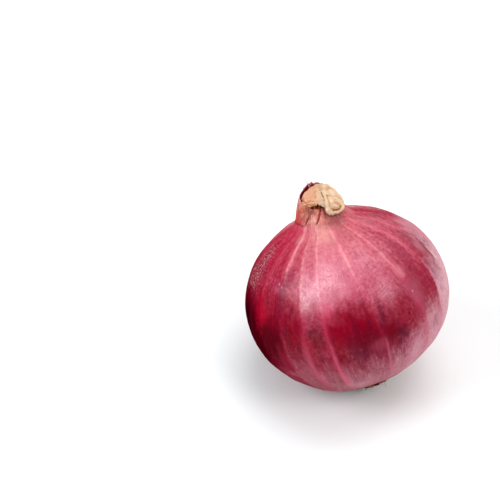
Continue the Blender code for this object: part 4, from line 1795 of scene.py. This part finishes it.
    def neck(self, tone: Signal) -> Signal:
        """Lays on the browner skin of the neck, its stains and its rim, and painted shade under the hood, down inside
        the neck and in the creases.

        Args:
            tone: The tone under them.

        Returns:
            The tone with them.
        """
        board, along, brush = self.board, self.along, self.brush
        blotches = board.noise(self.own, 1.1, 5.0, 0.65).rise(0.40, 0.62)
        gathered = self.drawn(20.0, 0.5, 4.0, 0.65)
        skin = board.coats(
            board.blend(blotches, ink(172, 82, 74), ink(206, 132, 110)),
            (gathered.rise(0.54, 0.66) * 0.5, ink(230, 170, 150)),
            (gathered.rise(0.46, 0.34) * 0.6, ink(128, 48, 48)),
        )
        tone = board.blend((along - self.flush * 3.0).rise(13.5, 8.0) * 0.85, tone, skin)
        # Stains, and painted shade from the hood.
        tone = self.patches(tone, self.finish.neck_stains_and_shade, self.mottle + brush - 1.0, 1.3, 0.2)
        rim = along.rise(4.2, 4.8) * along.rise(6.6, 5.5)
        return board.coats(
            tone,
            (rim * 0.8 * self.lane_place.rise(15.2, 14.0), ink(212, 148, 148)),
            # The lining down inside the neck: dark red, partly the inner skin's own colour and partly painted shade.
            (along.rise(4.9, 4.2), board.blend(brush.rise(0.40, 0.58), ink(98, 2, 4), ink(158, 34, 40))),
            (board.mark("torn") * 0.75, ink(132, 16, 30)),
            # Painted shade in the creases.
            (board.mark("crease").rise(0.05, 0.75), ink(92, 30, 18)),
        )

    def finished(self, tone: Signal) -> bpy.types.Material:
        """Finishes the material, with its gloss and its fine relief.

        Args:
            tone: The tone with every coat on it.

        Returns:
            The material.
        """
        mottle = self.mottle
        height = mottle * 0.5 + self.brush * 0.5 + self.core * 0.5 + self.grain * 0.3
        gloss = self.gloss * (1.0 - self.band * 0.75) * (0.55 + mottle.rise(0.35, 0.6) * 0.45)
        return self.board.finish({
            "Base Color": tone,
            "Roughness": 0.42 + mottle * 0.2,
            "Specular IOR Level": 0.0,
            "Coat Weight": gloss * (0.4 + self.along.rise(108.0, 84.0) * 0.6),
            "Coat Roughness": 0.29,
            "Normal": self.board.bump(height, 0.00022),
        })


@dataclass(frozen=True)
class SheathFinish:
    """The dried leaf sheath: matt and papery, peach on the left and cream on the right. It is brown in its folds,
    partly as painted shade, and has painted shade inside it and in the gap under it.
    """

    def build(self) -> bpy.types.Material:
        """Builds the material.

        Returns:
            The material.
        """
        board = Board(bpy.data.materials.new("dry_sheath_paper"))
        around, level, _ = board.split(board.node("ShaderNodeUVMap", {"uv_map": "lanes"}, None, "UV"))
        own = board.mark("own", "Vector")
        x = board.split(own)[0]
        cosine, sine = board.math("COSINE", around * TAU), board.math("SINE", around * TAU)
        fibres = board.noise(board.vector(cosine * 22.0, sine * 22.0, level * 5.0), 1.0, 3.0, 0.6)
        blotches = board.noise(own, 0.35, 3.0)
        cream = (x + (blotches - 0.5) * 4.0).rise(-0.5, 4.0)
        fold = board.mark("fold")
        # The inside and the withered leaves: ochre brown on the left, near black to the right, partly their own colour
        # and partly painted shade of the gap under the hood.
        inside = board.blend(x.rise(0.4, 2.8), ink(196, 92, 40), ink(84, 12, 8))
        tone = board.coats(
            board.blend(cream, ink(230, 168, 134), ink(237, 206, 172)),
            (blotches.rise(0.5, 0.7) * 0.30, ink(206, 146, 104)),
            (fibres.rise(0.5, 0.32) * 0.25, ink(192, 134, 96)),
            (fibres.rise(0.52, 0.68) * 0.35, ink(240, 214, 184)),
            # Brown in the folds and the crumples' hollows: partly the creases' own brown, partly painted shade.
            (fold.rise(0.0, 0.6) * 0.75, ink(206, 134, 88)),
            (fold.rise(0.35, 1.0), ink(128, 52, 22)),
            (board.mark("within").rise(0.0, 0.6), inside),
        )
        height = fibres * 0.7 + board.noise(own, 1.4, 6.0, 0.65) * 0.9
        return board.finish({
            "Base Color": tone,
            "Roughness": 0.62 + fibres * 0.2,
            "Specular IOR Level": 0.2,
            "Normal": board.bump(height, 0.0006),
        })


@dataclass(frozen=True)
class ThreadFinish:
    """The dry threads: pale, with a pink cast."""

    def build(self) -> bpy.types.Material:
        """Builds the material.

        Returns:
            The material.
        """
        board = Board(bpy.data.materials.new("dry_thread"))
        grain = board.noise(board.mark("own", "Vector"), 3.0, 3.0, 0.6)
        return board.finish({
            "Base Color": board.blend(grain.rise(0.4, 0.6), ink(190, 116, 130), ink(206, 150, 156)),
            "Roughness": 0.6 + grain * 0.2,
            "Normal": board.bump(grain, 0.0001),
        })


@dataclass(frozen=True)
class RootFinish:
    """The dried roots: matt, tan to dark brown, paler at their broken ends."""

    def build(self) -> bpy.types.Material:
        """Builds the material.

        Returns:
            The material.
        """
        board = Board(bpy.data.materials.new("dry_root_fibre"))
        own = board.mark("own", "Vector")
        grain = board.noise(own, 1.8, 4.0, 0.6)
        tone = board.coats(
            board.blend(board.mark("shade"), ink(176, 140, 104), ink(104, 66, 46)),
            (grain.rise(0.45, 0.7) * 0.5, ink(84, 44, 34)),
            (board.mark("tip").rise(0.6, 1.0) * 0.5, ink(206, 178, 140)),
            (board.mark("rust"), ink(104, 12, 16)),
        )
        return board.finish({
            "Base Color": tone,
            "Roughness": 0.75 + grain * 0.2,
            "Specular IOR Level": 0.3,
            "Normal": board.bump(grain, 0.0002),
        })


@dataclass(frozen=True)
class Studio:
    """The pale floor, the soft lights and the camera.

    Attributes:
        stance: How the onion lies.
        distance: From the camera to the plane through the onion's middle, in metres.
        elevation: How far the camera looks down.
        lens: Its focal length in millimetres.
        sensor: The width of its sensor in millimetres.
        frame_width: The width of the picture in pixels.
        aside: How far right of the picture's middle the onion's middle is, in pixels.
        below: How far below the picture's middle it is.
        floor_half: Half the side of the floor, in metres.
        floor_drop: How far the floor is below the onion's flat spot.
    """

    stance: Stance
    distance: float = 0.381
    elevation: float = math.radians(42.0)
    lens: float = 80.0
    sensor: float = 36.0
    frame_width: float = 500.0
    aside: float = 96.0
    below: float = 47.0
    floor_half: float = 3.0
    floor_drop: float = 0.00005

    def camera(self) -> bpy.types.Object:
        """Sets up the camera.

        Returns:
            The camera.
        """
        lens = bpy.data.cameras.new("camera")
        lens.lens, lens.sensor_width, lens.clip_start = self.lens, self.sensor, 0.01
        forward = Vector((0.0, math.cos(self.elevation), -math.sin(self.elevation)))
        right = Vector((1.0, 0.0, 0.0))
        up = right.cross(forward)
        pixel = self.sensor / self.lens / self.frame_width * self.distance
        made = put_in_scene("camera", lens)
        made.matrix_world = Matrix((right, up, -forward)).transposed().to_4x4()
        made.location = self.stance.middle() - self.distance * forward - pixel * (self.aside * right - self.below * up)
        bpy.context.scene.camera = made
        return made

    def lamp(self, name: str, toward: Sequence[float], away: float, size: float, power: float,
             colour: Sequence[float] = (1.0, 1.0, 1.0)) -> None:
        """Adds a square soft light.

        Args:
            name: Its name.
            toward: The direction from the onion to it.
            away: Its distance in metres.
            size: The length of its side.
            power: Its power in watts.
            colour: Its colour.
        """
        light = bpy.data.lights.new(name, "AREA")
        light.shape, light.size, light.energy, light.color = "SQUARE", size, power, colour
        made = put_in_scene(name, light)
        way = Vector(toward).normalized()
        made.location = self.stance.middle() + away * way
        made.rotation_euler = way.to_track_quat("Z", "Y").to_euler()

    def surroundings(self) -> None:
        """Lights everything softly from a pale room that is darker at the left."""
        world = bpy.data.worlds.new("room")
        bpy.context.scene.world = world
        board = Board(world)
        x, y, z = board.split(board.node("ShaderNodeTexCoord", None, None, "Generated"))
        open_side = (z + 0.45 * x + 0.20 * y).rise(-0.15, 0.95)
        tone = board.blend(open_side, ink(30, 28, 28), ink(255, 255, 255))
        seen = board.node("ShaderNodeLightPath", None, None, "Is Camera Ray")
        tone = board.blend(seen, tone, ink(255, 255, 255))
        shader = board.node("ShaderNodeBackground", None, {"Color": tone, "Strength": 0.75})
        board.node("ShaderNodeOutputWorld", None, {"Surface": shader})

    def floor(self) -> bpy.types.Object:
        """Lays the pale floor.

        Returns:
            The floor.
        """
        half = self.floor_half
        mesh = bpy.data.meshes.new("floor")
        corners = [(-half, -half, 0.0), (half, -half, 0.0), (half, half, 0.0), (-half, half, 0.0)]
        mesh.from_pydata(corners, [], [(0, 1, 2, 3)])
        made = put_in_scene("floor", mesh)
        made.location.z = -self.floor_drop
        board = Board(bpy.data.materials.new("pale_floor"))
        spot = board.node("ShaderNodeTexCoord", None, None, "Object")
        tone = board.blend(board.noise(spot, 9.0, 3.0), ink(234, 236, 236), ink(240, 242, 242))
        mesh.materials.append(board.finish({"Base Color": tone, "Roughness": 0.55}))
        return made

    def build(self) -> None:
        """Sets up the camera, the lights and the floor."""
        bpy.context.scene.view_settings.view_transform = "Standard"
        self.camera()
        self.surroundings()
        self.floor()
        self.lamp("window", (-0.80, -0.18, 0.57), 0.9, 0.5, 6.0, (0.94, 0.97, 1.0))
        self.lamp("ceiling", (0.15, 0.25, 1.0), 1.2, 0.8, 6.5)
        self.lamp("front", (0.55, -0.40, 0.73), 1.1, 0.45, 3.4)


def main() -> None:
    """Builds the onion and its studio, and reports each piece."""
    logging.basicConfig(level=logging.INFO, format="%(name)s: %(message)s")
    stance = Stance()
    bulb, tuft = BulbSkin(stance), RootTuft(stance)
    root_finish = RootFinish().build()
    pieces = (
        (bulb.build(), SkinFinish().build(), "bulb", "red_skin"),
        (bulb.threads(), ThreadFinish().build(), "bulb", "red_skin"),
        (NeckHood(stance).build(), SheathFinish().build(), "neck_tip", "dry_sheath"),
        (tuft.plate(), root_finish, "root_tuft", "dry_root"),
        (tuft.roots(), root_finish, "root_tuft", "dry_root"),
    )
    for piece, finish, node, slot in pieces:
        piece.data.materials.append(finish)
        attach(piece, "root")
        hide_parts(node)
        triangles = sum(len(face.vertices) - 2 for face in piece.data.polygons)
        LOG.info("%s stands for %s: %d triangles", piece.name, node, triangles)
    Studio(stance).build()


if __name__ == "__main__":
    main()
